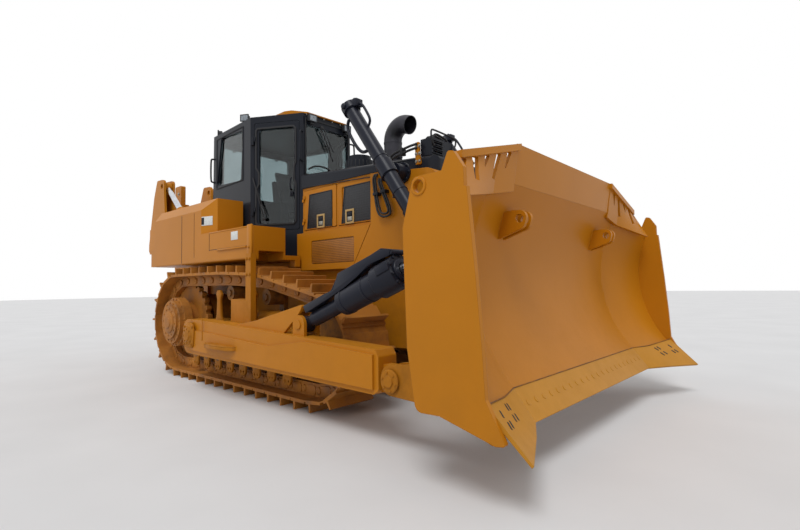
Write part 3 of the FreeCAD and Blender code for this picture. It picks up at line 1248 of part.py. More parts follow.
def make_lift_cylinders():
    at, length = line_points(LIFT_PIVOT, LIFT_EYE, LIFT_Y)
    band_half = 90
    barrel = [rod(at(-LIFT_ABOVE), at(LIFT_BELOW), LIFT_BARREL_R),
              rod(at(-LIFT_ABOVE), at(-LIFT_ABOVE + 90), LIFT_CAP_R),
              rod(at(-band_half), at(band_half), LIFT_BAND_R),
              rod(at(LIFT_BELOW - LIFT_GLAND), at(LIFT_BELOW), LIFT_BARREL_R + 12),
              pin_y(LIFT_PIVOT, LIFT_Y - TRUNNION_IN, LIFT_Y, TRUNNION_R)]
    hollow = [rod(at(-LIFT_ABOVE + LIFT_CAP), at(LIFT_BELOW - LIFT_GLAND + 30), LIFT_BORE_R),
              rod(at(0), at(LIFT_BELOW + 1), LIFT_ROD_R + PIN_GAP)]
    save("lift_barrels", pair(join(barrel).cut(hollow)))
    start = length - LIFT_ROD_LENGTH
    shaft = [rod(at(start), at(length - 70), LIFT_ROD_R),
             rod(at(start), at(start + LIFT_PISTON), LIFT_BORE_R - 0.1),
             pin_y(LIFT_EYE, LIFT_Y - LIFT_EYE_HALF, LIFT_Y + LIFT_EYE_HALF, LIFT_EYE_R)]
    hole = pin_y(LIFT_EYE, LIFT_Y - LIFT_EYE_HALF - 1, LIFT_Y + LIFT_EYE_HALF + 1, ARM_PIN_R)
    save("lift_rods", pair(join(shaft).cut(hole)))


# Ripper


def make_ripper():
    low, high = RIP_LOW, RIP_HIGH
    low_end = (low[0] + RIP_LINK[0], low[1] + RIP_LINK[1])
    high_end = (high[0] + RIP_LINK[0], high[1] + RIP_LINK[1])
    gap = RIP_ARM_HALF + SIDE_GAP
    reach = RIP_ARM_Y + gap + RIP_PLATE
    bracket_rows = [(HULL_REAR_X, 780), (low[0] - 20, low[1] - 130, 110), (low[0] - 130, low[1] + 90, 110),
                    (HULL_REAR_X - 170, 1450), (high[0] - 120, high[1] + 20, 100), (high[0] + 60,
                                                                                    high[1] + 125, 60),
                    (HULL_REAR_X, DECK_BOTTOM)]
    pieces = []
    for near in (-gap - RIP_PLATE, gap):
        y = RIP_ARM_Y + near
        pieces.append(slab(bracket_rows, "xz", y, y + RIP_PLATE))
    for pivot in (low, high):
        pieces.append(pin_y(pivot, RIP_ARM_Y - gap - RIP_PLATE - PROUD, reach + PROUD, RIP_PIN_R))
    cross = box((HULL_REAR_X - 45, HULL_REAR_X), (-reach, reach), (780, DECK_BOTTOM))
    root = RIP_CYL_ROOT
    ear = [(HULL_REAR_X - 10, 1500), (root[0] - 105, root[1] - 70, 60), (root[0] - 85, root[1] + 90, 60),
           (root[0] + 75, root[1] + 90, 50), (HULL_REAR_X - 10, DECK_BOTTOM)]
    side_gap = RIP_CYL_HALF + SIDE_GAP
    for near in (-side_gap - RIP_PLATE, side_gap):
        y = RIP_CYL_Y + near
        pieces.append(slab(ear, "xz", y, y + RIP_PLATE))
    side_reach = side_gap + RIP_PLATE + PROUD
    pieces.append(pin_y(root, RIP_CYL_Y - side_reach, RIP_CYL_Y + side_reach, RIP_CYL_ROD))
    save("ripper_bracket", join(pieces + [mirrored(piece) for piece in pieces] + [cross]))

    # lower arms with their cross tube
    way, length = turned(low, low_end)
    normal = (way[1], -way[0])
    rows = []
    for distance, out in ((-RIP_ARM_R, RIP_ARM_R), (length + RIP_ARM_R, RIP_ARM_R),
                          (length + RIP_ARM_R, -RIP_ARM_R), (-RIP_ARM_R, -RIP_ARM_R)):
        spot = along(along(low, way, distance), normal, out)
        rows.append((spot[0], spot[1], RIP_ARM_R - 2))
    arm = slab(rows, "xz", RIP_ARM_Y - RIP_ARM_HALF, RIP_ARM_Y + RIP_ARM_HALF)
    arm = arm.cut([pin_y(low, 0, 900, RIP_PIN_R + PIN_GAP), pin_y(low_end, 0, 900, RIP_PIN_R + PIN_GAP)])
    middle = along(low, way, length * 0.4)
    tie = pin_y(middle, -RIP_ARM_Y + RIP_ARM_HALF - 1, RIP_ARM_Y - RIP_ARM_HALF + 1, 70)
    save("ripper_arms", join([arm, mirrored(arm), tie]))

    # upper links, cylinders held at one length
    def at(distance):
        spot = along(high, way, distance)
        return V(spot[0], RIP_ARM_Y, spot[1])
    link = [pin_y(high, RIP_ARM_Y - RIP_ARM_HALF, RIP_ARM_Y + RIP_ARM_HALF, RIP_LINK_R),
            pin_y(high_end, RIP_ARM_Y - RIP_ARM_HALF, RIP_ARM_Y + RIP_ARM_HALF, RIP_LINK_R),
            rod(at(60), at(RIP_NECK + 71), RIP_NECK_R), rod(at(RIP_NECK + 70), at(1500), RIP_CYL_R),
            rod(at(1410), at(1500), RIP_CYL_R + 12),
            rod(at(1499), at(length - 70), RIP_CYL_ROD)]
    link = join(link).cut([pin_y(high, 0, 900, RIP_PIN_R + PIN_GAP), pin_y(high_end, 0, 900, RIP_PIN_R)])
    save("ripper_links", pair(link))

    # beam with its towers and shank pocket
    tower = [(low_end[0] + 130, low_end[1] - 130, 110), (low_end[0] + 130, low_end[1] + 180, 90),
             (high_end[0] + 110, high_end[1] - 150, 60), (high_end[0] + 110, RIP_TOWER_TOP - 20, 90),
             (high_end[0] - 240, RIP_TOWER_TOP, 60), (high_end[0] - 390, 3280, 100),
             (RIP_BEAM_REAR - 40, RIP_BEAM_BOTTOM + 200), (RIP_BEAM_REAR - 40, RIP_BEAM_BOTTOM, 60)]
    pieces = []
    for near in (-gap - RIP_PLATE, gap):
        y = RIP_ARM_Y + near
        plate = slab(tower, "xz", y, y + RIP_PLATE)
        pieces.append(plate.cut(pin_y(high_end, y - 1, y + RIP_PLATE + 1, RIP_PIN_R)))
    pieces.append(pin_y(low_end, RIP_ARM_Y - gap - RIP_PLATE - PROUD, reach + PROUD, RIP_PIN_R))
    back_x = high_end[0] - 180
    pieces.append(box((back_x - 60, back_x), (RIP_ARM_Y - gap - 1, RIP_ARM_Y + gap + 1), (2500, 3400)))
    beam = box((RIP_BEAM_REAR, RIP_BEAM_FRONT), (-reach, reach), (RIP_BEAM_BOTTOM, RIP_BEAM_TOP))
    wall = SHANK_HALF + SEAT_GAP + POCKET_WALL
    pocket = box((SHANK_REAR - POCKET_WALL, SHANK_REAR + SHANK_DEPTH + POCKET_WALL), (-wall, wall),
                 (1980, 3200))
    hole = box((SHANK_REAR - SEAT_GAP, SHANK_REAR + SHANK_DEPTH + SEAT_GAP),
               (-SHANK_HALF - SEAT_GAP, SHANK_HALF + SEAT_GAP), (1900, 3800))
    lug = [(RIP_BEAM_FRONT - 20, low_end[1] - 150), (low_end[0] + 60, low_end[1] - 90, 60),
           (low_end[0] + 60, low_end[1] + 85, 60), (RIP_BEAM_FRONT - 20, low_end[1] + 85)]
    cyl_gap = RIP_CYL_HALF + 15
    for near in (-cyl_gap - RIP_PLATE, cyl_gap):
        y = RIP_CYL_Y + near
        plate = slab(lug, "xz", y, y + RIP_PLATE)
        pieces.append(plate.cut(pin_y(low_end, y - 1, y + RIP_PLATE + 1, RIP_CYL_ROD)))
    body = join(pieces + [mirrored(piece) for piece in pieces] + [beam, pocket]).cut(hole)
    save("ripper_beam", body)
    back, ahead = SHANK_REAR, SHANK_REAR + SHANK_DEPTH
    shank = [(back, SHANK_TOP, 30), (back, 1750, 250), (back + 90, 1330), (back + 400, SHANK_TIP_Z, 10),
             (back + 500, SHANK_TIP_Z + 60, 10), (back + 360, 1430, 120), (ahead, 1800, 250),
             (ahead, SHANK_TOP, 30)]
    save("ripper_shank", slab(shank, "xz", -SHANK_HALF, SHANK_HALF))

    # lift cylinders
    at, length = line_points(root, low_end, RIP_CYL_Y)
    eye = pin_y(root, RIP_CYL_Y - RIP_CYL_HALF, RIP_CYL_Y + RIP_CYL_HALF, 88)
    barrel = join([eye, rod(at(60), at(RIP_NECK + 10), RIP_NECK_R - 6),
                   rod(at(RIP_NECK), at(RIP_CYL_BARREL), RIP_CYL_R),
                   rod(at(RIP_CYL_BARREL - 80), at(RIP_CYL_BARREL), RIP_CYL_R + 10)])
    hollow = [pin_y(root, 0, 900, RIP_CYL_ROD + PIN_GAP),
              rod(at(RIP_NECK + 25), at(RIP_CYL_BARREL - 70), RIP_CYL_BORE),
              rod(at(200), at(RIP_CYL_BARREL + 1), RIP_CYL_ROD + PIN_GAP)]
    save("ripper_barrels", pair(barrel.cut(hollow)))
    start = length - RIP_CYL_ROD_LENGTH
    shaft = [rod(at(start), at(length - 62), RIP_CYL_ROD), rod(at(start), at(start + 70), RIP_CYL_BORE - 0.1),
             pin_y(low_end, RIP_CYL_Y - RIP_CYL_HALF, RIP_CYL_Y + RIP_CYL_HALF, 80)]
    save("ripper_rods", pair(join(shaft).cut(pin_y(low_end, 0, 900, RIP_CYL_ROD))))


def build():
    make_tracks()
    make_track_frames()
    make_wheels()
    make_drives()
    make_hull()
    make_side_boxes()
    make_cab()
    make_doors()
    make_cab_inside()
    make_hood()
    make_guard()
    make_hood_fittings()
    make_blade()
    make_push_arms()
    make_struts()
    make_lift_cylinders()
    make_ripper()


def middle_x():
    """Middle of the machine's length, from the blade's tips to the ripper."""
    low = min(shape.BoundBox.XMin for shape in nodes.values())
    high = max(shape.BoundBox.XMax for shape in nodes.values())
    return (low + high) / 2


build()
SHIFT_X = -middle_x()
os.makedirs("parts", exist_ok=True)
for name, shape in nodes.items():
    shape.translate(V(SHIFT_X, 0, 0))
    shape.exportStep("parts/" + name + ".step")
    print(name, len(shape.Solids), round(shape.Volume / 1e9, 4), shape.isValid())
print("shift", round(SHIFT_X, 3))
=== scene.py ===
"""Dresses the bulldozer: finishes for its nodes, and the fittings that its solids leave out."""
import math

import bpy
from mathutils import Matrix, Vector


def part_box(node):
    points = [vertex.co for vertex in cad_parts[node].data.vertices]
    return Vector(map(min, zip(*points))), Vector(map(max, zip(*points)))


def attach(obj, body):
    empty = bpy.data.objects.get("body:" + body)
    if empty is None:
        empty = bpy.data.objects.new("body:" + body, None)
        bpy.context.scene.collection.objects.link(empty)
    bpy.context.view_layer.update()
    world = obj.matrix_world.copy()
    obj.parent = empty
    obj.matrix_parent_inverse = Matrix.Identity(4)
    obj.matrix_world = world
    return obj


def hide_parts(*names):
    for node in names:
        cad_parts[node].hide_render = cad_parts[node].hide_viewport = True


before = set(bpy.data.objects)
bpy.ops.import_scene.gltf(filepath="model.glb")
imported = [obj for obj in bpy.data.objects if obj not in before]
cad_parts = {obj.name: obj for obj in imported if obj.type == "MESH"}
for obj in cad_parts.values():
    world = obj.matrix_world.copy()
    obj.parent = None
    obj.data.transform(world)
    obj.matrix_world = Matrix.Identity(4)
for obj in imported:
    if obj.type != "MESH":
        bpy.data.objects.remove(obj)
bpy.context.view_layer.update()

bl_info = {
    "name": "Crawler bulldozer dressing",
    "version": (1, 0, 0),
    "blender": (4, 5, 0),
    "location": "3D View > Sidebar > Bulldozer",
    "description": "Finishes and fittings for a crawler bulldozer",
    "category": "Object",
}

# Places are written in millimetres: x forward and y left of the sprockets' shaft, z above the ground.
# The rear end of the side box, this many metres behind that shaft, ties these places to the frame.
BOX_BEHIND_SHAFT = 1.100
BASE_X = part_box("side_box_right")[0].x + BOX_BEHIND_SHAFT
SIDES = (("right", -1), ("left", 1))
FORWARD, BACKWARD, UP, DOWN = (1, 0, 0), (-1, 0, 0), (0, 0, 1), (0, 0, -1)
# What stands on both sides is made on the right one and mirrored, so this is its way out.
OUT = (0, -1, 0)

# Centres in side view (along, height), and radii of the line through the track's pins
SPROCKET, SPROCKET_PINS = (-70, 824), 626
IDLER, IDLER_PINS = (3400, 680), 482
ROLLERS, ROLLER_Z = [560 + 328 * index for index in range(8)], 395
ARM_PIVOT, ARM_PIN = (1250, 720), (4860, 570)
# Inclined cylinders: foot, head and distance from the middle plane
LIFT_PIVOT, LIFT_EYE, LIFT_Y = (4039, 2585), (5358, 700), 900
STRUT_LOW, STRUT_HIGH, STRUT_Y = (3554, 962), (5330, 1640), 1600
# Corners of the cab in plan (along, distance from the middle plane)
CAB_REAR, CAB_MIDDLE, CAB_FRONT = (-80, 800), (1230, 870), (1950, 450)
FINISH = {}


# Settings that a user would change


def tint(code):
    """A colour written as sRGB hex, as linear red, green, blue and alpha."""
    parts = [int(code[i:i + 2], 16) / 255 for i in (1, 3, 5)]
    return tuple(p / 12.92 if p <= 0.04045 else ((p + 0.055) / 1.055) ** 2.4 for p in parts) + (1.0,)


class PaintSettings(bpy.types.PropertyGroup):
    enamel: bpy.props.FloatVectorProperty(
        name="Enamel", description="Colour of the sprayed body enamel", subtype="COLOR", size=4,
        min=0, max=1, default=tint("#B87412"))
    charcoal: bpy.props.FloatVectorProperty(
        name="Charcoal", description="Colour of the cab's and hood's dark enamel", subtype="COLOR",
        size=4, min=0, max=1, default=tint("#1C1F27"))
    dust: bpy.props.FloatProperty(
        name="Dust", description="How much dust lies on faces that look up", subtype="FACTOR", min=0,
        max=1, default=0.22)


class FastenerSettings(bpy.types.PropertyGroup):
    head: bpy.props.FloatProperty(
        name="Bolt head", description="Radius of a structural bolt's head", unit="LENGTH",
        min=0.005, max=0.05, default=0.017)


class CameraSettings(bpy.types.PropertyGroup):
    place: bpy.props.FloatVectorProperty(
        name="Place", description="Where the camera stands", subtype="XYZ", size=3, unit="LENGTH",
        default=(BASE_X + 7.52007, -4.54116, 1.33555))
    turn: bpy.props.FloatVectorProperty(
        name="Turn", description="Heading, pitch and roll", subtype="EULER", size=3, unit="ROTATION",
        default=(2.308, 0.044, -0.013))
    lens: bpy.props.FloatProperty(
        name="Lens", description="Focal length on a 36 mm sensor, in millimetres", min=5, max=200,
        default=21.384)


class StageSettings(bpy.types.PropertyGroup):
    floor: bpy.props.FloatVectorProperty(
        name="Floor", description="Colour of the pale floor", subtype="COLOR", size=4, min=0, max=1,
        default=tint("#D6D6D7"))
    sky: bpy.props.FloatProperty(
        name="Sky", description="Strength of the even light from all round", min=0, max=3, default=0.62)
    sun: bpy.props.FloatProperty(
        name="Sun", description="Strength of the soft light from above", min=0, max=10, default=1.5)


# Places


def at(x, y, z):
    """A place in millimetres as a point of the frame in metres."""
    return Vector((BASE_X + x / 1000, y / 1000, z / 1000))


def in_mm(point):
    """A point of the frame in metres as a place in millimetres."""
    return tuple((point - at(0, 0, 0)) * 1000)


def wall(start, end, side):
    """A straight wall of the cab as a drawing plane: its start and end in plan, on one side."""
    return (start[0], side * start[1]), (end[0], side * end[1])


def spot(plane, a, b, depth):
    """A point of a drawing plane. On a wall, a runs along it, b is the height and depth is outwards."""
    if plane == "xz":
        return at(a, depth, b)
    if plane == "yz":
        return at(depth, a, b)
    if plane == "xy":
        return at(a, b, depth)
    (x, y), (end_x, end_y) = plane
    length = math.hypot(end_x - x, end_y - y)
    way_x, way_y = (end_x - x) / length, (end_y - y) / length
    out = -1 if y < 0 else 1
    return at(x + way_x * a - out * way_y * depth, y + way_y * a + out * way_x * depth, b)


def spot_mm(plane, a, b, depth):
    """The same point as a place in millimetres, for a bar or pipe."""
    return in_mm(spot(plane, a, b, depth))


def beside(foot, head, y):
    """Directions along and square to an inclined cylinder, and a function that gives places beside it:
    a distance from its foot, a rise off its axis and a shift across."""
    start = Vector((foot[0], 0, foot[1]))
    way = (Vector((head[0], 0, head[1])) - start).normalized()
    square = Vector((-way.z, 0, way.x))

    def place(distance, rise=0, shift=0):
        point = start + way * distance + square * rise
        return (point.x, y + shift, point.z)

    return way, square, place


def oblong(a, b):
    """Corners of a rectangle between two limits each way."""
    return [(a[0], b[0]), (a[1], b[0]), (a[1], b[1]), (a[0], b[1])]


def facing(place, way, size=1.0, roll=0.0):
    """Matrix that stands a model at a place, its up turned to a direction."""
    turn = Vector(way).to_track_quat("Z", "Y").to_matrix().to_4x4()
    return Matrix.Translation(at(*place)) @ turn @ Matrix.Rotation(roll, 4, "Z") @ Matrix.Scale(size, 4)


def ring_of(centre, way, radius, count, size, start=0.0):
    """Rows of bolts on a circle: place, direction and radius of the head."""
    way = Vector(way).normalized()
    first = way.orthogonal().normalized()
    second = way.cross(first)
    rows = []
    for index in range(count):
        angle = start + 2 * math.pi * index / count
        out = (first * math.cos(angle) + second * math.sin(angle)) * radius
        rows.append((tuple(Vector(centre) + out), way, size))
    return rows


def row_of(first, last, count, way, size):
    """Rows of bolts on a line: place, direction and radius of the head."""
    first, last = Vector(first), Vector(last)
    return [(tuple(first.lerp(last, i / max(count - 1, 1))), way, size) for i in range(count)]


def laid(node, rows):
    """The same rows set on a node's outer face, where each direction first meets it. Misses are left out."""
    reach = 0.4
    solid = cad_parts[node]
    kept = []
    for place, way, size in rows:
        way = Vector(way).normalized()
        hit, point, normal, _ = solid.ray_cast(at(*place) + way * reach, -way, distance=1.0)
        if hit:
            kept.append((in_mm(point), normal.copy(), size))
    if not kept:
        raise RuntimeError(f"no row meets {node}")
    return kept


# Modelling


def deselect():
    """Leaves edit mode and deselects everything."""
    if bpy.context.object and bpy.context.object.mode != "OBJECT":
        bpy.ops.object.mode_set(mode="OBJECT")
    bpy.ops.object.select_all(action="DESELECT")


def chosen(piece):
    """Selects one piece alone and makes it the active one."""
    deselect()
    piece.select_set(True)
    bpy.context.view_layer.objects.active = piece
    return piece


def edited(piece):
    """Opens a piece in edit mode with all of it selected."""
    chosen(piece)
    bpy.ops.object.mode_set(mode="EDIT")
    bpy.ops.mesh.select_all(action="SELECT")
    return piece


def modified(piece, kind, **settings):
    """Adds a modifier with its settings and applies it."""
    change = chosen(piece).modifiers.new(kind.title(), kind)
    for key, value in settings.items():
        setattr(change, key, value)
    bpy.ops.object.modifier_apply(modifier=change.name)
    return piece


def bevelled(piece, width, segments=2):
    """Eases the edges by a width in millimetres."""
    if width:
        modified(piece, "BEVEL", width=width / 1000, segments=segments, limit_method="ANGLE",
                 angle_limit=math.radians(35), harden_normals=False)
    return piece


def block(x, y, z, bevel=4):
    """Block between two limits each way, with eased edges."""
    deselect()
    low, high = at(x[0], y[0], z[0]), at(x[1], y[1], z[1])
    bpy.ops.mesh.primitive_cube_add(size=1, location=(low + high) / 2)
    piece = bpy.context.object
    piece.scale = [abs(value) for value in high - low]
    bpy.ops.object.transform_apply(location=True, rotation=True, scale=True)
    return bevelled(piece, bevel)


def block_round(place, half, bevel=4):
    """Block round a place, with its half size each way."""
    x, y, z = ((middle - reach, middle + reach) for middle, reach in zip(place, half))
    return block(x, y, z, bevel)


def bar(start, end, radius, bevel=3, sides=24):
    """Round bar between two places."""
    deselect()
    start, end = at(*start), at(*end)
    way = end - start
    bpy.ops.mesh.primitive_cylinder_add(vertices=sides, radius=radius / 1000, depth=way.length,
                                        location=(start + end) / 2,
                                        rotation=way.to_track_quat("Z", "Y").to_euler())
    bpy.ops.object.transform_apply(location=True, rotation=True, scale=True)
    return bevelled(bpy.context.object, bevel)


def sheet_of(rows, plane, depth):
    """Flat face with the given corners, left in edit mode and selected."""
    deselect()
    bpy.ops.mesh.primitive_circle_add(vertices=len(rows), fill_type="NGON")
    piece = bpy.context.object
    for vertex, (a, b) in zip(piece.data.vertices, rows):
        vertex.co = spot(plane, a, b, depth)
    return edited(piece)


def pulled(piece, plane, low, high):
    """Pulls the open mesh from one depth to the other and closes it as a solid."""
    step = spot(plane, 0, 0, high) - spot(plane, 0, 0, low)
    bpy.ops.mesh.select_all(action="SELECT")
    bpy.ops.mesh.extrude_region_move(TRANSFORM_OT_translate={"value": step})
    bpy.ops.mesh.select_all(action="SELECT")
    bpy.ops.mesh.normals_make_consistent(inside=False)
    bpy.ops.object.mode_set(mode="OBJECT")
    return piece


def plate(rows, plane, low, high, bevel=3):
    """Flat plate cut to an outline."""
    return bevelled(pulled(sheet_of(rows, plane, low), plane, low, high), bevel)


def rim(rows, plane, low, high, width, bevel=3):
    """Flat ring: an outline with its middle taken out."""
    piece = sheet_of(rows, plane, low)
    bpy.ops.mesh.inset(thickness=width / 1000)
    bpy.ops.mesh.delete(type="FACE")
    return bevelled(pulled(piece, plane, low, high), bevel)


def turned(start, way, rows, steps=32):
    """Round piece: distances along an axis and radii there, spun about it."""
    deselect()
    start, way = at(*start), Vector(way).normalized()
    side = way.orthogonal().normalized()
    if rows[-1][1] == 0 and rows[0][1] > 0:
        rows = [(rows[0][0], 0)] + rows
    bpy.ops.mesh.primitive_circle_add(vertices=len(rows), fill_type="NOTHING")
    piece = bpy.context.object
    for vertex, (distance, radius) in zip(piece.data.vertices, rows):
        vertex.co = start + way * (distance / 1000) + side * (radius / 1000)
    edited(piece)
    bpy.ops.mesh.spin(steps=steps, angle=2 * math.pi, center=start, axis=way)
    bpy.ops.mesh.select_all(action="SELECT")
    bpy.ops.mesh.remove_doubles(threshold=0.0002)
    bpy.ops.mesh.dissolve_degenerate(threshold=0.0001)
    bpy.ops.mesh.delete_loose()
    bpy.ops.mesh.select_all(action="SELECT")
    bpy.ops.mesh.normals_make_consistent(inside=False)
    bpy.ops.object.mode_set(mode="OBJECT")
    return piece


def pipe(points, radius, sides=4):
    """Bent round pipe through places, with closed ends."""
    deselect()
    bpy.ops.curve.primitive_nurbs_path_add()
    piece = bpy.context.object
    line = piece.data
    line.splines.clear()
    run = line.splines.new("NURBS")
    run.points.add(len(points) - 1)
    for point, place in zip(run.points, points):
        point.co = (*at(*place), 1)
    run.order_u = 3
    run.use_endpoint_u = True
    line.resolution_u = 6
    line.bevel_depth = radius / 1000
    line.bevel_resolution = sides
    line.use_fill_caps = True
    piece.select_set(True)
    bpy.ops.object.convert(target="MESH")
    piece = bpy.context.object
    bpy.ops.object.transform_apply(location=True, rotation=True, scale=True)
    return piece


def standing_pipe(plane, a, rows, radius):
    """Pipe bent off a wall at one place along it: rows of height and distance outwards."""
    return pipe([spot_mm(plane, a, height, depth) for height, depth in rows], radius)


def joined(pieces):
    """Several pieces as one."""
    deselect()
    for piece in pieces:
        piece.select_set(True)
    bpy.context.view_layer.objects.active = pieces[0]
    if len(pieces) > 1:
        bpy.ops.object.join()
    return bpy.context.object


def copied(piece, change):
    """A copy with its own mesh, moved by a matrix."""
    other = piece.copy()
    other.data = piece.data.copy()
    other.data.transform(change)
    bpy.context.collection.objects.link(other)
    return other


def mirrored(piece):
    """The same piece on the machine's other side, with its mesh turned the right way out."""
    other = edited(copied(piece, Matrix.Scale(-1, 4, (0, 1, 0))))
    bpy.ops.mesh.flip_normals()
    bpy.ops.object.mode_set(mode="OBJECT")
    return other


def repeated(model, places):
    """Copies of a model at places given as matrices, joined as one piece."""
    copies = [copied(model, place) for place in places]
    bpy.data.objects.remove(model)
    return joined(copies)


def low_cylinder(sides, radius, depth, rise=0.0):
    """Short cylinder about the origin, made in units of a bolt head's radius."""
    deselect()
    bpy.ops.mesh.primitive_cylinder_add(vertices=sides, radius=radius, depth=depth, location=(0, 0, rise))
    bpy.ops.object.transform_apply(location=True)
    return bpy.context.object


def bolt_heads(rows):
    """Hexagon heads with round washers at rows of place, direction and radius, each turned a little on."""
    head = bevelled(low_cylinder(6, 1, 0.75, 0.5), 160, 1)
    washer = low_cylinder(14, 1.45, 0.24, 0.08)
    turn = 0.7
    places = [facing(place, way, radius / 1000, index * turn)
              for index, (place, way, radius) in enumerate(rows)]
    return repeated(joined([head, washer]), places)


def plugs(rows):
    """Flat plough bolts: low round heads, almost flush."""
    head = bevelled(low_cylinder(16, 1, 0.3), 60, 1)
    return repeated(head, [facing(place, way, radius / 1000) for place, way, radius in rows])


def fitted(piece, name, body, finish, smooth=32):
    """Names a piece, gives it its finish and sets it on its body."""
    chosen(piece)
    bpy.ops.object.shade_smooth_by_angle(angle=math.radians(smooth))
    piece.name = piece.data.name = name
    piece.data.materials.clear()
    piece.data.materials.append(FINISH[finish])
    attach(piece, body)
    return piece


def fitted_pair(piece, name, body, finish, smooth=32):
    """Fits a right-hand piece and its mirror image."""
    other = mirrored(piece)
    fitted(piece, name + "_right", body, finish, smooth)
    fitted(other, name + "_left", body, finish, smooth)


# Finishes


def add(tree, kind, inputs=None, stops=(), **settings):
    """Adds a node and sets its properties, inputs and colour stops. An input given as (node, output) is a link."""
    made = tree.nodes.new(kind)
    for key, value in settings.items():
        setattr(made, key, value)
    for key, value in (inputs or {}).items():
        if isinstance(value, tuple) and isinstance(value[0], bpy.types.Node):
            tree.links.new(value[0].outputs[value[1]], made.inputs[key])
        else:
            made.inputs[key].default_value = value
    if stops:
        line = made.color_ramp.elements
        while len(line) < len(stops):
            line.new(0.5)
        for element, (place, colour) in zip(line, stops):
            element.position = place
            element.color = colour
    return made


def blank(name):
    """An empty material, its node tree and its object coordinates."""
    made = bpy.data.materials.new(name)
    made.use_nodes = True
    tree = made.node_tree
    tree.nodes.clear()
    return made, tree, (add(tree, "ShaderNodeTexCoord"), "Object")


def surfaced(made, inputs):
    """Ends a material with the main shader, given its inputs, and the output."""
    shader = add(made.node_tree, "ShaderNodeBsdfPrincipled", inputs)
    add(made.node_tree, "ShaderNodeOutputMaterial", {"Surface": (shader, 0)})
    return made


def shade(colour, factor):
    """A linear colour made darker or lighter."""
    return tuple(min(value * factor, 1) for value in colour[:3]) + (1.0,)


def per(size):
    """Texture scale at which a patch, grain or hole of the pattern is this many millimetres wide."""
    return 1000 / size


# Map ranges take their inputs by number: 0 is the value, 1 and 2 are what it goes between, 3 and 4 are
# what comes out there. Mixes take 0 as the share, and 6 and 7 as the two colours.


def painted(name, colour, dust, grime, chips, roughness=0.36, under=tint("#5A4A3A")):
    """Sprayed enamel on steel plate. Seen: an even gloss colour that drifts a little over each panel,
    pale dust on faces that look up, brown dirt thrown up near the ground, and edges rubbed to metal."""
    made, tree, here = blank(name)
    drift = add(tree, "ShaderNodeTexNoise", {"Vector": here, "Scale": per(1111), "Detail": 3.0})
    fine = add(tree, "ShaderNodeTexNoise", {"Vector": here, "Scale": per(38.5), "Detail": 5.0,
                                            "Roughness": 0.6})
    body = add(tree, "ShaderNodeValToRGB", {"Fac": (drift, 0)},
               [(0.3, shade(colour, 0.93)), (0.7, shade(colour, 1.05))])
    solid = add(tree, "ShaderNodeNewGeometry")
    up = add(tree, "ShaderNodeSeparateXYZ", {0: (solid, "Normal")})
    lying = add(tree, "ShaderNodeMapRange", {0: (up, 2), 1: 0.45, 2: 1.0, 3: 0.0, 4: dust})
    patch = add(tree, "ShaderNodeMapRange", {0: (fine, 0), 1: 0.35, 2: 0.65, 3: 0.35, 4: 1.0})
    lying = add(tree, "ShaderNodeMath", {0: (lying, 0), 1: (patch, 0)}, operation="MULTIPLY")
    dusty = add(tree, "ShaderNodeMix", {0: (lying, 0), 6: (body, 0), 7: tint("#A8823E")}, data_type="RGBA")
    height = add(tree, "ShaderNodeSeparateXYZ", {0: here})
    low = add(tree, "ShaderNodeMapRange", {0: (height, 2), 1: 0.15, 2: 1.7, 3: 1.0, 4: 0.0})
    blotch = add(tree, "ShaderNodeTexNoise", {"Vector": here, "Scale": per(200), "Detail": 6.0,
                                              "Roughness": 0.7})
    blotch = add(tree, "ShaderNodeMapRange", {0: (blotch, 0), 1: 0.4, 2: 0.68, 3: 0.1, 4: 1.0})
    low = add(tree, "ShaderNodeMath", {0: (low, 0), 1: (blotch, 0)}, operation="MULTIPLY")
    low = add(tree, "ShaderNodeMath", {0: (low, 0), 1: grime}, operation="MULTIPLY")
    dirty = add(tree, "ShaderNodeMix", {0: (low, 0), 6: (dusty, 2), 7: tint("#5E4322")}, data_type="RGBA")
    eased = add(tree, "ShaderNodeBevel", {"Radius": 0.006}, samples=4)
    sharp = add(tree, "ShaderNodeVectorMath", {0: (eased, 0), 1: (solid, "True Normal")},
                operation="DOT_PRODUCT")
    worn = add(tree, "ShaderNodeMapRange", {0: (sharp, "Value"), 1: 0.86, 2: 0.97, 3: chips, 4: 0.0})
    worn = add(tree, "ShaderNodeMath", {0: (worn, 0), 1: (patch, 0)}, operation="MULTIPLY")
    final = add(tree, "ShaderNodeMix", {0: (worn, 0), 6: (dirty, 2), 7: under}, data_type="RGBA")
    rough = add(tree, "ShaderNodeMath", {0: (lying, 0), 1: (low, 0)}, operation="MAXIMUM")
    rough = add(tree, "ShaderNodeMapRange", {0: (rough, 0), 1: 0.0, 2: 0.6, 3: roughness, 4: 0.85})
    skin = add(tree, "ShaderNodeTexNoise", {"Vector": here, "Scale": per(5.56), "Detail": 2.0})
    grain = add(tree, "ShaderNodeBump", {"Height": (skin, 0), "Strength": 0.06, "Distance": 0.002,
                                         "Normal": (eased, 0)})
    return surfaced(made, {"Base Color": (final, 2), "Roughness": (rough, 0), "Normal": (grain, 0),
                           "Specular IOR Level": 0.16})


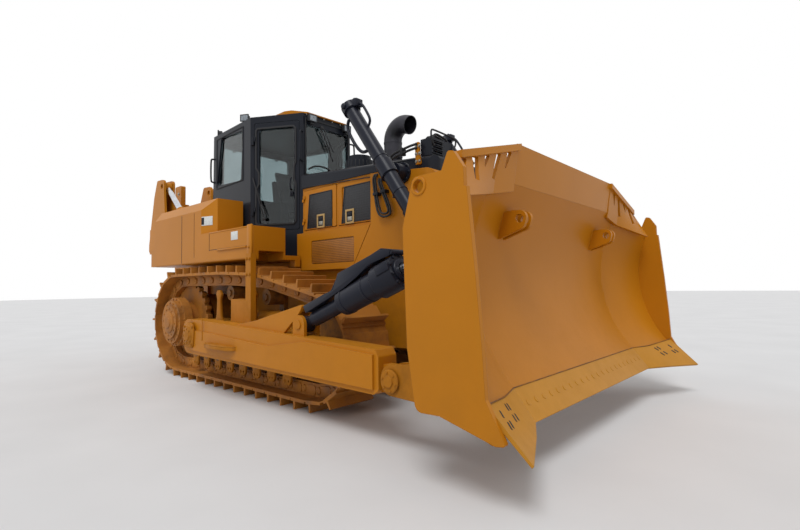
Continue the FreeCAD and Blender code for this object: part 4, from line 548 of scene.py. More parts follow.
def track_steel():
    """Cast and rolled track steel, painted at the works and run in. Seen: brown enamel, nearly bare and
    darker where it rubs, with earth packed in its corners."""
    made, tree, here = blank("cast_track_steel_painted_and_run_in")
    wide = add(tree, "ShaderNodeTexNoise", {"Vector": here, "Scale": per(286), "Detail": 6.0,
                                            "Roughness": 0.65})
    fine = add(tree, "ShaderNodeTexNoise", {"Vector": here, "Scale": per(26.3), "Detail": 4.0})
    body = add(tree, "ShaderNodeValToRGB", {"Fac": (wide, 0)},
               [(0.3, tint("#7E4E16")), (0.5, tint("#A8691A")), (0.7, tint("#B47418"))])
    earth = add(tree, "ShaderNodeValToRGB", {"Fac": (fine, 0)},
                [(0.35, tint("#5A3E20")), (0.7, tint("#8A6232"))])
    solid = add(tree, "ShaderNodeNewGeometry")
    up = add(tree, "ShaderNodeSeparateXYZ", {0: (solid, "Normal")})
    lying = add(tree, "ShaderNodeMapRange", {0: (up, 2), 1: 0.2, 2: 1.0, 3: 0.12, 4: 0.5})
    share = add(tree, "ShaderNodeMath", {0: (lying, 0), 1: (fine, 0)}, operation="MULTIPLY")
    mixed = add(tree, "ShaderNodeMix", {0: (share, 0), 6: (body, 0), 7: (earth, 0)}, data_type="RGBA")
    rough = add(tree, "ShaderNodeMapRange", {0: (wide, 0), 1: 0.3, 2: 0.7, 3: 0.5, 4: 0.8})
    eased = add(tree, "ShaderNodeBevel", {"Radius": 0.005}, samples=4)
    grain = add(tree, "ShaderNodeBump", {"Height": (fine, 0), "Strength": 0.35, "Distance": 0.004,
                                         "Normal": (eased, 0)})
    return surfaced(made, {"Base Color": (mixed, 2), "Roughness": (rough, 0), "Normal": (grain, 0)})


def mottled(name, dark, light, patch, roughness, metallic=0.0, bump=0.2, depth=0.002):
    """A plain surface whose colour and gloss drift between two values, in patches this many millimetres
    wide."""
    made, tree, here = blank(name)
    noise = add(tree, "ShaderNodeTexNoise", {"Vector": here, "Scale": per(patch), "Detail": 4.0})
    body = add(tree, "ShaderNodeValToRGB", {"Fac": (noise, 0)}, [(0.35, tint(dark)), (0.65, tint(light))])
    rough = add(tree, "ShaderNodeMapRange", {0: (noise, 0), 1: 0.3, 2: 0.7, 3: roughness[0], 4: roughness[1]})
    grain = add(tree, "ShaderNodeBump", {"Height": (noise, 0), "Strength": bump, "Distance": depth})
    return surfaced(made, {"Base Color": (body, 0), "Roughness": (rough, 0), "Normal": (grain, 0),
                           "Metallic": metallic})


def perforated(name, colour, pitch):
    """Punched steel sheet, sprayed. Seen: rows of round holes, painted dark as the shade behind the sheet; the
    real holes are
    6 mm, finer than a pixel of a full view, so they are drawn at the pitch given, in millimetres."""
    made, tree, here = blank(name)
    parts = add(tree, "ShaderNodeSeparateXYZ", {0: here})
    flat = add(tree, "ShaderNodeCombineXYZ", {0: (parts, 0), 1: (parts, 2)})
    cells = add(tree, "ShaderNodeTexVoronoi", {"Vector": (flat, 0), "Scale": per(pitch), "Randomness": 0.0},
                voronoi_dimensions="2D")
    noise = add(tree, "ShaderNodeTexNoise", {"Vector": here, "Scale": per(167), "Detail": 3.0})
    paint = add(tree, "ShaderNodeValToRGB", {"Fac": (noise, 0)},
                [(0.3, shade(colour, 0.85)), (0.7, shade(colour, 1.1))])
    hole = add(tree, "ShaderNodeValToRGB", {"Fac": (cells, "Distance")},
               [(0.30, (0, 0, 0, 1)), (0.38, (1, 1, 1, 1))])
    # the holes take the sheet's colour at three tenths: painted shade seen through them
    mixed = add(tree, "ShaderNodeMix", {0: (hole, 0), 6: shade(colour, 0.3), 7: (paint, 0)}, data_type="RGBA")
    pit = add(tree, "ShaderNodeBump", {"Height": (hole, 0), "Strength": 0.5, "Distance": 0.004})
    return surfaced(made, {"Base Color": (mixed, 2), "Roughness": 0.45, "Normal": (pit, 0)})


def tinted_glass():
    """Toughened glass, tinted grey-green in the melt. Seen: a clear dark pane with a faint film of dust."""
    made, tree, here = blank("toughened_tinted_glass")
    film = add(tree, "ShaderNodeTexNoise", {"Vector": here, "Scale": per(400), "Detail": 5.0})
    body = add(tree, "ShaderNodeValToRGB", {"Fac": (film, 0)},
               [(0.35, tint("#A4B2B4")), (0.7, tint("#AFBCBE"))])
    rough = add(tree, "ShaderNodeMapRange", {0: (film, 0), 1: 0.3, 2: 0.75, 3: 0.0, 4: 0.06})
    return surfaced(made, {"Base Color": (body, 0), "Roughness": (rough, 0), "Transmission Weight": 1.0,
                           "IOR": 1.45})


def woven_fabric():
    """Woven polyester seat cloth. Seen: a dull charcoal weave; its 1 mm threads are drawn at 6 mm."""
    made, tree, here = blank("woven_polyester_seat_cloth")
    threads = per(6) * math.pi / 10
    warp = add(tree, "ShaderNodeTexWave", {"Vector": here, "Scale": threads}, bands_direction="X")
    weft = add(tree, "ShaderNodeTexWave", {"Vector": here, "Scale": threads}, bands_direction="Z")
    weave = add(tree, "ShaderNodeMath", {0: (warp, "Fac"), 1: (weft, "Fac")}, operation="MULTIPLY")
    body = add(tree, "ShaderNodeValToRGB", {"Fac": (weave, 0)},
               [(0.2, tint("#3C3E43")), (0.8, tint("#5A5D63"))])
    lint = add(tree, "ShaderNodeTexNoise", {"Vector": here, "Scale": per(66.7)})
    rough = add(tree, "ShaderNodeMapRange", {0: (lint, 0), 3: 0.8, 4: 0.98})
    grain = add(tree, "ShaderNodeBump", {"Height": (weave, 0), "Strength": 0.5, "Distance": 0.001})
    return surfaced(made, {"Base Color": (body, 0), "Roughness": (rough, 0), "Normal": (grain, 0),
                           "Sheen Weight": 0.3})


# Which finish each node of the machine has; the rest is body enamel.
NODE_FINISH = {
    "charcoal_enamel": ("cab_frame", "cab_door_right", "cab_door_left", "hood_cowl", "precleaner",
                        "lamp_box"),
    "cylinder_enamel": ("tilt_barrel", "brace_tube", "lift_barrels", "ripper_barrels", "lift_yokes"),
    "exhaust_steel": ("exhaust_pipe",),
    "track_steel": ("track_left", "track_right", "final_drives"),
    "roller_steel": ("track_wheels", "carrier_rollers"),
    # frames, hull and the blade's back take the body enamel darkened as painted shade
    "low_enamel_shaded": ("track_frame_left", "track_frame_right", "main_frame", "blade_back"),
    "chrome": ("lift_rods", "tilt_rod", "brace_screw", "ripper_rods"),
    "tinted_glass": ("cab_glass", "door_glass_left", "door_glass_right"),
    "seat_cloth": ("seat",),
    "moulded_plastic": ("cab_console",),
    "dark_iron": ("radiator_grille", "engine_block"),
    "edge_steel": ("cutting_edges",),
}

# Plain surfaces: name, darker and lighter colour, patch in millimetres, least and most roughness, how
# metallic, and the bump's strength and depth in metres.
PLAIN_FINISHES = {
    # rolled and forged wheel steel, rubbed dull by the track
    "roller_steel": ("forged_roller_steel", "#5A3A18", "#94601C", 111, (0.5, 0.8), 0.0, 0.4, 0.003),
    # hard chrome on ground steel: a mirror that the weather has barely dulled
    "chrome": ("hard_chrome_on_steel", "#C2C5CA", "#D8DADD", 71.4, (0.1, 0.22), 1.0, 0.03, 0.0005),
    # moulded ABS: a soft black with fine pitting
    "moulded_plastic": ("moulded_abs_plastic", "#17181B", "#24262A", 6.25, (0.5, 0.7), 0.0, 0.3),
    # unpainted cast iron behind the guard: dull and sooty
    "dark_iron": ("sooty_cast_iron", "#1C1C1E", "#34322F", 83.3, (0.6, 0.85), 0.0, 0.3, 0.003),
    # aluminised exhaust pipe, heat-darkened
    "exhaust_steel": ("heat_darkened_exhaust_steel", "#1D1E22", "#33323A", 143, (0.35, 0.6), 0.35, 0.15),
    # extruded rubber: matt black with a chalky bloom
    "rubber": ("extruded_rubber", "#141416", "#232326", 33.3, (0.6, 0.85), 0.0, 0.2),
    # zinc-plated fasteners: pale grey with a dull yellow cast
    "zinc": ("zinc_plated_steel", "#8C8A80", "#B2AFA4", 11.1, (0.3, 0.5), 0.9, 0.1),
    # anodised aluminium plate left blank: pale satin
    "pale_plate": ("blank_anodised_plate", "#C9CBC8", "#DADBD8", 22.2, (0.35, 0.5), 0.2, 0.05),
    # polycarbonate lens over a bright reflector
    "lens": ("polycarbonate_lamp_lens", "#6E757C", "#9AA2A9", 16.7, (0.08, 0.2), 0.3, 0.35),
    # acrylic tail lamp lens: clear red gloss
    "red_lens": ("red_acrylic_lens", "#7A1014", "#A8181C", 16.7, (0.1, 0.2), 0.0, 0.35),
}


class DOZER_OT_finishes(bpy.types.Operator):
    """Makes every finish and gives the machine's own nodes theirs"""
    bl_idname = "dozer.finishes"
    bl_label = "Finishes"

    def execute(self, context):
        paint = context.scene.dozer_paint
        enamel, charcoal = tuple(paint.enamel), tuple(paint.charcoal)
        bare = tint("#6A6C72")
        FINISH.update({
            "enamel": painted("sprayed_body_enamel", enamel, paint.dust, 0.12, 0.2),
            # the body enamel made a tenth darker for parts low down, under and behind: painted shade, with more
            # real dirt and a duller gloss
            "low_enamel_shaded": painted("enamel_near_ground_with_painted_shade", shade(enamel, 0.9), paint.dust, 0.5, 0.3,
                                  0.45),
            "charcoal_enamel": painted("sprayed_charcoal_enamel", charcoal, paint.dust * 0.3, 0.1, 0.12, 0.34,
                                       bare),
            "cylinder_enamel": painted("cylinder_enamel", tint("#1E212C"), paint.dust * 0.2, 0.1, 0.12, 0.32,
                                       bare),
            "pale_enamel": painted("sprayed_pale_enamel", tint("#B89A66"), 0.1, 0.1, 0.1),
            # rolled boron steel edge, sprayed over and already rubbed at the tip; its paint is drawn paler than
            # the body enamel as painted light on the edge lit from above
            "edge_steel": painted("rolled_edge_steel_painted_paler_as_lit", tint("#BC8226"), 0.15, 0.15, 0.3, 0.42,
                                  tint("#8A6A40")),
            "track_steel": track_steel(),
            "tinted_glass": tinted_glass(),
            "seat_cloth": woven_fabric(),
            "black_mesh": perforated("punched_black_sheet", tint("#1E1F24"), 30),
            "brown_mesh": perforated("punched_body_sheet", tint("#A8691C"), 22),
        })
        for key, values in PLAIN_FINISHES.items():
            FINISH[key] = mottled(*values)
        finish_of = {node: finish for finish, nodes in NODE_FINISH.items() for node in nodes}
        for name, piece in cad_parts.items():
            piece.data.materials.clear()
            piece.data.materials.append(FINISH[finish_of.get(name, "enamel")])
        return {"FINISHED"}


# Fittings of the hood

# Each hatch: the outline of its sheet, and its latch's limits along and in height.
HATCHES = {
    "rear": ([(2116, 2150), (2660, 2142), (2660, 2624), (2172, 2624)], (2342, 2506), (2135, 2322)),
    "front": ([(2846, 2150), (3400, 2150), (3400, 2624), (2906, 2624)], (2929, 3092), (2135, 2322)),
}
HATCH_FACE = 508


def inner(limits, margin):
    """Two limits, each drawn in by a margin."""
    return limits[0] + margin, limits[1] - margin


class DOZER_OT_hatches(bpy.types.Operator):
    """Black punched sheets, latch plates and handles of the four hood hatches"""
    bl_idname = "dozer.hatches"
    bl_label = "Hood hatches"

    def execute(self, context):
        for side, sign in SIDES:
            for name, (outline, across, up) in HATCHES.items():
                low, high = up
                body = f"hatch_{name}_{side}"

                def skin(inside, outside):
                    return sign * (HATCH_FACE + inside), sign * (HATCH_FACE + outside)

                mesh = plate(outline, "xz", *skin(-16, 2), 1)
                fitted(mesh, f"hatch_mesh_{name}_{side}", body, "black_mesh")
                edge = rim(outline, "xz", *skin(0, 6), 12, 1)
                fitted(edge, f"hatch_rubber_{name}_{side}", body, "rubber")
                surround = rim(oblong(across, up), "xz", *skin(0, 12), 26, 3)
                fitted(surround, f"hatch_latch_frame_{name}_{side}", body, "pale_enamel")
                pocket = plate(oblong(inner(across, 20), inner(up, 20)), "xz", *skin(0, 5), 0)
                paddle = plate(oblong(inner(across, 46), (high - 88, high - 44)), "xz", *skin(3, 13), 5)
                fitted(joined([pocket, paddle]), f"hatch_latch_{name}_{side}", body,
                       "charcoal_enamel")
                key = plate(oblong(inner(across, 40), (low + 38, low + 92)), "xz", *skin(3, 11), 4)
                fitted(key, f"hatch_key_plate_{name}_{side}", body, "zinc")
        return {"FINISHED"}


# The cowl's top runs down from its rear end by this much over this length.
COWL_REAR, COWL_DROP, COWL_LENGTH = (1990, 2938), 178, 2410
GUARD_SIDE, GUARD_EDGE, GUARD_FRONT = -640, 585, 4450


class DOZER_OT_hood(bpy.types.Operator):
    """Lower punched sheets, the cowl's seams and lower lips, and the guard's bolts and mouth"""
    bl_idname = "dozer.hood"
    bl_label = "Hood and guard"

    def execute(self, context):
        size = context.scene.dozer_bolts.head * 1000
        mesh = plate(oblong((2384, 3220), (1644, 1946)), "xz", -608, -634, 3)
        fitted_pair(mesh, "lower_mesh", "machine", "brown_mesh")
        seams = []
        for x in (2700, 3120, 3560):
            top = COWL_REAR[1] - COWL_DROP * (x - COWL_REAR[0]) / COWL_LENGTH
            seams.append(plate(oblong((x - 5, x + 5), (-430, 430)), "xy", top - 4, top + 3, 1))
        fitted(joined(seams), "cowl_seams", "machine", "charcoal_enamel")
        lip = [(2010, 2738), (4350, 2610), (4350, 2622), (2010, 2750)]
        strips = [plate(lip, "xz", sign * 515, sign * 521, 2) for _, sign in SIDES]
        fitted(joined(strips), "cowl_lower_lip", "machine", "rubber")
        rows = []
        for first, last, count in (((3580, 1620), (4300, 1620), 5), ((3580, 2480), (3840, 2480), 2),
                                   ((4330, 1720), (4330, 2450), 4)):
            rows += row_of((first[0], GUARD_SIDE, first[1]), (last[0], GUARD_SIDE, last[1]), count, OUT, size)
        fitted_pair(bolt_heads(rows), "guard_bolts", "machine", "enamel")
        rows = row_of((GUARD_FRONT, -GUARD_EDGE, 1600), (GUARD_FRONT, GUARD_EDGE, 1600), 6, FORWARD, size)
        for _, sign in SIDES:
            y = sign * GUARD_EDGE
            rows += row_of((GUARD_FRONT, y, 1760), (GUARD_FRONT, y, 2440), 4, FORWARD, size)
        fitted(bolt_heads(rows), "guard_front_bolts", "machine", "enamel")
        edge = rim([(-548, 1626), (548, 1626), (548, 2514), (-548, 2514)], "yz", 4446, 4456, 18, 3)
        fitted(edge, "guard_mouth_frame", "machine", "enamel")
        return {"FINISHED"}


EXHAUST_X, PRECLEANER_X, PRECLEANER_RIBS = 3300, 2658, 24


class DOZER_OT_exhaust(bpy.types.Operator):
    """Clamp rings of the exhaust, ribs and bands of the precleaner"""
    bl_idname = "dozer.exhaust"
    bl_label = "Exhaust and precleaner"

    def execute(self, context):
        bands = [turned((EXHAUST_X, 0, z), UP, [(-14, r - 6), (-11, r), (11, r), (14, r - 6)])
                 for z, r in ((2936, 108), (3010, 122), (3215, 122))]
        lug = block((3405, 3455), (-16, 16), (2992, 3028), 4)
        bolt = bar((3430, -30, 3010), (3430, 30, 3010), 7, 1, 12)
        fitted(joined(bands + [lug, bolt]), "exhaust_clamps", "machine", "exhaust_steel")
        rib = block((PRECLEANER_X + 150, PRECLEANER_X + 206), (-5, 5), (2984, 3076), 3)
        centre = Matrix.Translation(at(PRECLEANER_X, 0, 0))
        ribs = repeated(rib, [centre @ Matrix.Rotation(2 * math.pi * index / PRECLEANER_RIBS, 4, "Z")
                              @ centre.inverted() for index in range(PRECLEANER_RIBS)])
        cap = turned((PRECLEANER_X, 0, 3144), UP, [(0, 158), (10, 160), (20, 120), (26, 40), (27, 0)])
        band = turned((PRECLEANER_X, 0, 2962), UP, [(0, 196), (4, 206), (20, 206), (24, 196)])
        fitted(joined([ribs, cap, band]), "precleaner_ribs", "machine", "moulded_plastic")
        return {"FINISHED"}


class DOZER_OT_front_box(bpy.types.Operator):
    """Louvres and pipes of the hood's front box, and the pipes of the hose brackets"""
    bl_idname = "dozer.front_box"
    bl_label = "Front box and hose brackets"

    def execute(self, context):
        pipes = [pipe([(4352, -470, 2872), (4358, -500, 2885), (4360, -532, 2960), (4360, -530, 3030),
                       (4350, -480, 3044), (4340, -300, 3044), (4350, -110, 3030), (4360, -76, 3010),
                       (4360, -76, 2960), (4358, -112, 2895), (4352, -135, 2880)], 10)]
        for index, x in enumerate((4215, 4260, 4305)):
            rows = ((-440, 2955), (-430, 2990), (-380, 3014 + 8 * index), (-290, 3020), (-200, 3006),
                    (-170, 2985), (-165, 2955))
            pipes.append(pipe([(x, y, z) for y, z in rows], 13))
        fitted(joined(pipes), "lamp_box_pipes", "machine", "rubber", 60)
        ribs = [plate(oblong((-486, -296), (z, z + 9)), "yz", 4336, 4352, 2)
                for z in (2786, 2834, 2884, 2930)]
        fitted(joined(ribs), "lamp_box_louvres", "machine", "charcoal_enamel")
        route = ((4170, -545, 2864), (4120, -556, 2862), (4000, -560, 2845), (3848, -560, 2823),
                 (3780, -555, 2800), (3750, -530, 2760), (3746, -512, 2700))
        lines = [pipe([(x, y, z + rise) for x, y, z in route], 14) for rise in (0, 44)]
        clip = block((3935, 3975), (-578, -508), (2818, 2905), 4)
        fitted_pair(joined(lines + [clip]), "bracket_pipes", "machine", "rubber", 60)
        rows = [((x, -538, z), OUT, 13) for x in (4150, 4196) for z in (2715, 2800, 2885)]
        fitted_pair(bolt_heads(rows), "bracket_bolts", "machine", "zinc")
        return {"FINISHED"}


# Fittings of the cab and side boxes

# Each work lamp of the left side: along, across, height of its middle, and heading in degrees.
LAMPS = ((2030, 330, 3790, 0), (992, 835, 3925, 60), (40, 770, 3900, 120), (-95, 420, 3770, 180))


def lamp_head():
    """Square work lamp at the start of the places, looking forward: its case, rim and foot, and its lens."""
    case = plate(oblong((-62, 62), (-46, 46)), "yz", -70, 0, 14)
    lip = rim(oblong((-70, 70), (-54, 54)), "yz", -14, 8, 12, 3)
    lens = plate(oblong((-60, 60), (-44, 44)), "yz", -4, 3, 2)
    foot = plate([(-45, -52), (-15, -52), (-10, -86), (-50, -86)], "xz", -22, 22, 3)
    return joined([case, lip, foot]), lens


class DOZER_OT_cab_lamps(bpy.types.Operator):
    """Work lamps round the cab's roof"""
    bl_idname = "dozer.cab_lamps"
    bl_label = "Cab lamps"

    def execute(self, context):
        home = Matrix.Translation(-at(0, 0, 0))
        places = [Matrix.Translation(at(x, sign * y, z)) @ Matrix.Rotation(math.radians(sign * turn), 4, "Z")
                  @ home for x, y, z, turn in LAMPS for _, sign in SIDES]
        shell, lens = lamp_head()
        fitted(repeated(shell, places), "cab_lamp_cases", "machine", "moulded_plastic")
        fitted(repeated(lens, places), "cab_lamp_lenses", "machine", "lens")
        return {"FINISHED"}


# Outline of the rubber round a door's window
DOOR_SEAL = [(110, 2240), (690, 2240), (732, 2290), (735, 2830), (705, 2900), (705, 3080), (732, 3150),
             (732, 3640), (690, 3690), (112, 3690), (80, 3650), (80, 3090), (128, 3010), (128, 2860),
             (80, 2770), (80, 2280)]
DOOR_HANDLE, DOOR_WIPER = 655, 232


class DOZER_OT_cab(bpy.types.Operator):
    """Door handles, wipers, grab rails, window rubbers and the brow's screws"""
    bl_idname = "dozer.cab"
    bl_label = "Cab fittings"

    def execute(self, context):
        for side, sign in SIDES:
            door = wall(CAB_MIDDLE, CAB_FRONT, sign)
            body = f"door_{side}"
            bend = ((2916, 6), (2916, 34), (2895, 52), (2760, 52), (2741, 34), (2741, 6))
            grip = standing_pipe(door, DOOR_HANDLE, bend, 10)
            lock = plate(oblong((DOOR_HANDLE - 27, DOOR_HANDLE + 27), (2650, 2722)), door, 4, 16, 4)
            button = bar(spot_mm(door, DOOR_HANDLE, 2690, 14), spot_mm(door, DOOR_HANDLE, 2690, 26), 13, 2)
            fitted(joined([grip, lock, button]), f"door_handle_{side}", body,
                   "charcoal_enamel", 50)
            arm = plate([(224, 2330), (240, 2334), (60, 2940), (44, 2936)], door, 18, 26, 2)
            blade = plate([(34, 2948), (46, 2952), (256, 2400), (244, 2396)], door, 6, 16, 2)
            hub = bar(spot_mm(door, DOOR_WIPER, 2336, 2), spot_mm(door, DOOR_WIPER, 2336, 34), 24, 4)
            fitted(joined([arm, blade, hub]), f"door_wiper_{side}", body, "rubber")
            fitted(rim(DOOR_SEAL, door, 2, 14, 26, 3), f"door_seal_{side}", body, "rubber")
        seal = rim(oblong((-420, 420), (2960, 3800)), "yz", 1952, 1962, 20, 2)
        arms = [plate([(y - 170, 3700), (y - 152, 3704), (y + 28, 3388), (y + 12, 3382)], "yz", 1974, 1982, 2)
                for y in (0, 62)]
        blade = plate([(-96, 3620), (-84, 3624), (88, 3236), (76, 3232)], "yz", 1962, 1974, 2)
        hub = bar((1950, -130, 3706), (1990, -130, 3706), 26, 4)
        grip = pipe([(1954, -362, 3046), (1984, -350, 3060), (1990, -300, 3092), (1990, -190, 3116),
                     (1990, -70, 3112), (1984, -4, 3092), (1954, 16, 3084)], 13)
        fitted(joined([seal, blade, hub, grip] + arms), "windscreen_wiper", "machine",
               "rubber", 50)
        bend = ((3150, 2), (3150, 52), (3180, 72), (3560, 72), (3590, 52), (3590, 2))
        rail = standing_pipe(wall(CAB_MIDDLE, CAB_FRONT, -1), 815, bend, 13)
        fitted_pair(rail, "cab_front_rail", "machine", "charcoal_enamel", 60)
        window = wall(CAB_REAR, CAB_MIDDLE, -1)
        bend = ((3090, 2), (3090, 44), (3120, 62), (3452, 62), (3480, 44), (3480, 2))
        rail = standing_pipe(window, 66, bend, 14)
        seal = rim(oblong((150, 1080), (2958, 3792)), window, 3, 10, 16, 2)
        fitted_pair(joined([rail, seal]), "cab_side_rail", "machine", "rubber", 60)
        rows = row_of((1960, -400, 3850), (1960, 400, 3850), 6, FORWARD, 9)
        fitted(bolt_heads(rows), "cab_brow_screws", "machine", "zinc")
        return {"FINISHED"}


LEVER_X, LEVER_Y, PEDAL_Y = 1240, 355, 110


class DOZER_OT_cab_inside(bpy.types.Operator):
    """Levers, armrests, monitor and pedals that show through the glass"""
    bl_idname = "dozer.cab_inside"
    bl_label = "Cab inside"

    def execute(self, context):
        pieces = []
        for y in (-LEVER_Y, LEVER_Y):
            stem = pipe([(LEVER_X, y, 2620), (LEVER_X + 4, y, 2680), (LEVER_X + 12, y, 2740)], 10)
            grip = turned((LEVER_X + 12, y, 2730), (0.12, 0, 1),
                          [(0, 0), (2, 20), (30, 24), (70, 21), (100, 30), (122, 26), (130, 0)])
            pad = block((900, 1180), (y - 52, y + 52), (2636, 2672), 14)
            boot = turned((LEVER_X, y, 2632), UP, [(0, 44), (10, 42), (24, 26), (40, 12)])
            pieces += [stem, grip, pad, boot]
        fitted(joined(pieces), "levers", "machine", "moulded_plastic", 50)
        case = plate([(1690, 2620), (1730, 2620), (1700, 2850), (1660, 2850)], "xz", -390, -190, 8)
        stalk = bar((1720, -290, 2540), (1705, -290, 2640), 16, 2)
        fitted(joined([case, stalk]), "monitor", "machine", "moulded_plastic")
        glass = plate([(1686, 2636), (1688, 2636), (1660, 2836), (1658, 2836)], "xz", -376, -204, 0)
        fitted(glass, "monitor_glass", "machine", "tinted_glass")
        pedals = []
        for y in (-PEDAL_Y, PEDAL_Y):
            pedals.append(plate([(1540, 1900), (1556, 1896), (1600, 2030), (1584, 2036)], "xz", y - 48,
                                y + 48, 4))
            pedals.append(bar((1560, y, 1862), (1576, y, 1950), 11, 2))
        fitted(joined(pedals), "pedals", "machine", "charcoal_enamel")
        return {"FINISHED"}


# How the seat swells: pressure inside, frames that it runs and the furthest that a point may move
SEAT_PRESSURE, SEAT_FRAMES, SEAT_SWELL = 4, 20, 0.022
SEAT_VOXEL, SEAT_QUICK_VOXEL = 0.009, 0.016


class DOZER_OT_seat(bpy.types.Operator):
    """Padded seat cushion and backrest, blown up by cloth simulation over the plain seat"""
    bl_idname = "dozer.seat"
    bl_label = "Seat"

    def execute(self, context):
        cushion = block((770, 1272), (-238, 238), (2395, 2500), 26)
        back = plate([(798, 2520), (892, 2512), (800, 3090), (716, 3084)], "xz", -218, 218, 26)
        head = plate([(742, 3092), (800, 3084), (776, 3268), (716, 3262)], "xz", -142, 142, 26)
        seat = joined([cushion, back, head])
        modified(seat, "REMESH", mode="VOXEL", voxel_size=SEAT_VOXEL)
        before = [vertex.co.copy() for vertex in seat.data.vertices]
        cloth = seat.modifiers.new("Swell", "CLOTH")
        cloth.settings.use_pressure = True
        cloth.settings.uniform_pressure_force = SEAT_PRESSURE
        cloth.settings.effector_weights.gravity = 0
        cloth.settings.quality = 5
        cloth.collision_settings.use_collision = False
        for step in range(1, SEAT_FRAMES + 1):
            context.scene.frame_set(step)
        solved = seat.evaluated_get(context.evaluated_depsgraph_get()).data
        swollen = [vertex.co.copy() for vertex in solved.vertices]
        seat.modifiers.remove(cloth)
        context.scene.frame_set(1)
        for vertex, old, new in zip(seat.data.vertices, before, swollen):
            step = new - old
            vertex.co = old + step * min(1, SEAT_SWELL / max(step.length, 1e-6))
        modified(seat, "SMOOTH", factor=0.5, iterations=3)
        modified(seat, "SUBSURF", levels=1, render_levels=1)
        base = block((820, 1230), (-205, 205), (2374, 2404), 10)
        fitted(seat, "seat_padding", "machine", "seat_cloth", 60)
        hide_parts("seat")
        fitted(base, "seat_pan", "machine", "moulded_plastic")
        seams = [bar((800, y, 2514), (1240, y, 2514), 3, 0, 8) for y in (-120, 0, 120)]
        for z in (2660, 2800, 2940):
            # the backrest leans back by 92 mm over its 578 mm
            x = 902 + (z - 2512) / 578 * -92
            seams.append(bar((x, -190, z), (x, 190, z), 3, 0, 8))
        fitted(joined(seams), "seat_piping", "machine", "rubber")
        return {"FINISHED"}


# Outer face of the side boxes, and the ends in plan of their slanted front corner
BOX_FACE = -1399
BOX_CORNER = ((773, -1405), (1091, -1300))


class DOZER_OT_side_boxes(bpy.types.Operator):
    """Seams, blank plates, caps, posts and tail lamps of the side boxes, and the rear tank's bolts"""
    bl_idname = "dozer.side_boxes"
    bl_label = "Side boxes"

    def execute(self, context):
        sheet = plate(oblong((26, 238), (2241, 2371)), BOX_CORNER, 1, 5, 1)
        mark = plate(oblong((26, 76), (2254, 2358)), BOX_CORNER, 4, 7, 1)
        fitted_pair(sheet, "box_blank_plate", "machine", "pale_plate")
        fitted_pair(mark, "box_blank_end", "machine", "charcoal_enamel")
        small = plate(oblong((1655, 1828), (1968, 2079)), "xz", BOX_FACE + 1, BOX_FACE - 5, 1)
        fitted_pair(small, "skirt_blank_plate", "machine", "pale_plate")
        seams = [plate(oblong(along, up), "xz", BOX_FACE, BOX_FACE - 3, 0) for along, up in (
            ((134, 144), (1722, 2458)), ((560, 566), (1790, 2450)), ((1036, 1044), (1860, 2112)),
            ((1044, 2050), (1868, 1875)))]
        fitted_pair(joined(seams), "box_seams", "machine", "rubber")
        edge = block((1040, 2060), (-1404, -1380), (2104, 2124), 5)
        post = block((2062, 2176), (-1412, -1380), (1712, 2140), 14)
        fitted_pair(joined([edge, post]), "skirt_post", "machine", "enamel")
        rows = [((2119, -1412, z), OUT, 15) for z in (1760, 1850)]
        fitted_pair(bolt_heads(rows), "skirt_post_bolts", "machine", "enamel")
        lip = bar((1293, -1408, 1858), (2047, -1408, 1858), 13, 3)
        fitted_pair(lip, "skirt_lip", "machine", "enamel")
        cap = turned((-300, -1120, 2618), UP,
                     [(0, 92), (6, 96), (20, 96), (26, 74), (44, 70), (50, 60), (54, 0)])
        grip = block((-372, -228), (-1132, -1108), (2666, 2688), 6)
        fitted_pair(joined([cap, grip]), "tank_cap", "machine", "charcoal_enamel")
        case = plate(oblong((-1330, -1120), (1830, 1930)), "yz", -1102, -1116, 3)
        red = plate(oblong((-1310, -1140), (1846, 1914)), "yz", -1110, -1124, 8)
        fitted_pair(case, "tail_lamp_case", "machine", "moulded_plastic")
        fitted_pair(red, "tail_lamp_lens", "machine", "red_lens")
        rows = []
        for z in (1860, 2480):
            rows += row_of((-601, -780, z), (-601, 780, z), 7, BACKWARD, 12)
        fitted(bolt_heads(rows), "rear_tank_bolts", "machine", "enamel")
        door = rim(oblong((-640, 640), (1940, 2400)), "yz", -599, -606, 12, 1)
        fitted(door, "rear_tank_door", "machine", "enamel")
        return {"FINISHED"}


# Fittings of the undercarriage

# The track's line of pins: where its fall to the idler starts, where its level top run ends, the radius of
# both bends, and where the first pin lies, counted forward from the start of the bottom run.
TRACK_FALL, TRACK_FLAT, TRACK_BEND = (2250, 1412), 1350, 1800
LINKS, ARC_STEPS, FIRST_PIN = 40, 24, -31
# Cover plates on the track frame's side, and the middles of the carrier rollers' columns
FRAME_PLATES = ((820, 640), (2560, 640))
CARRIERS = (1165, 2060)


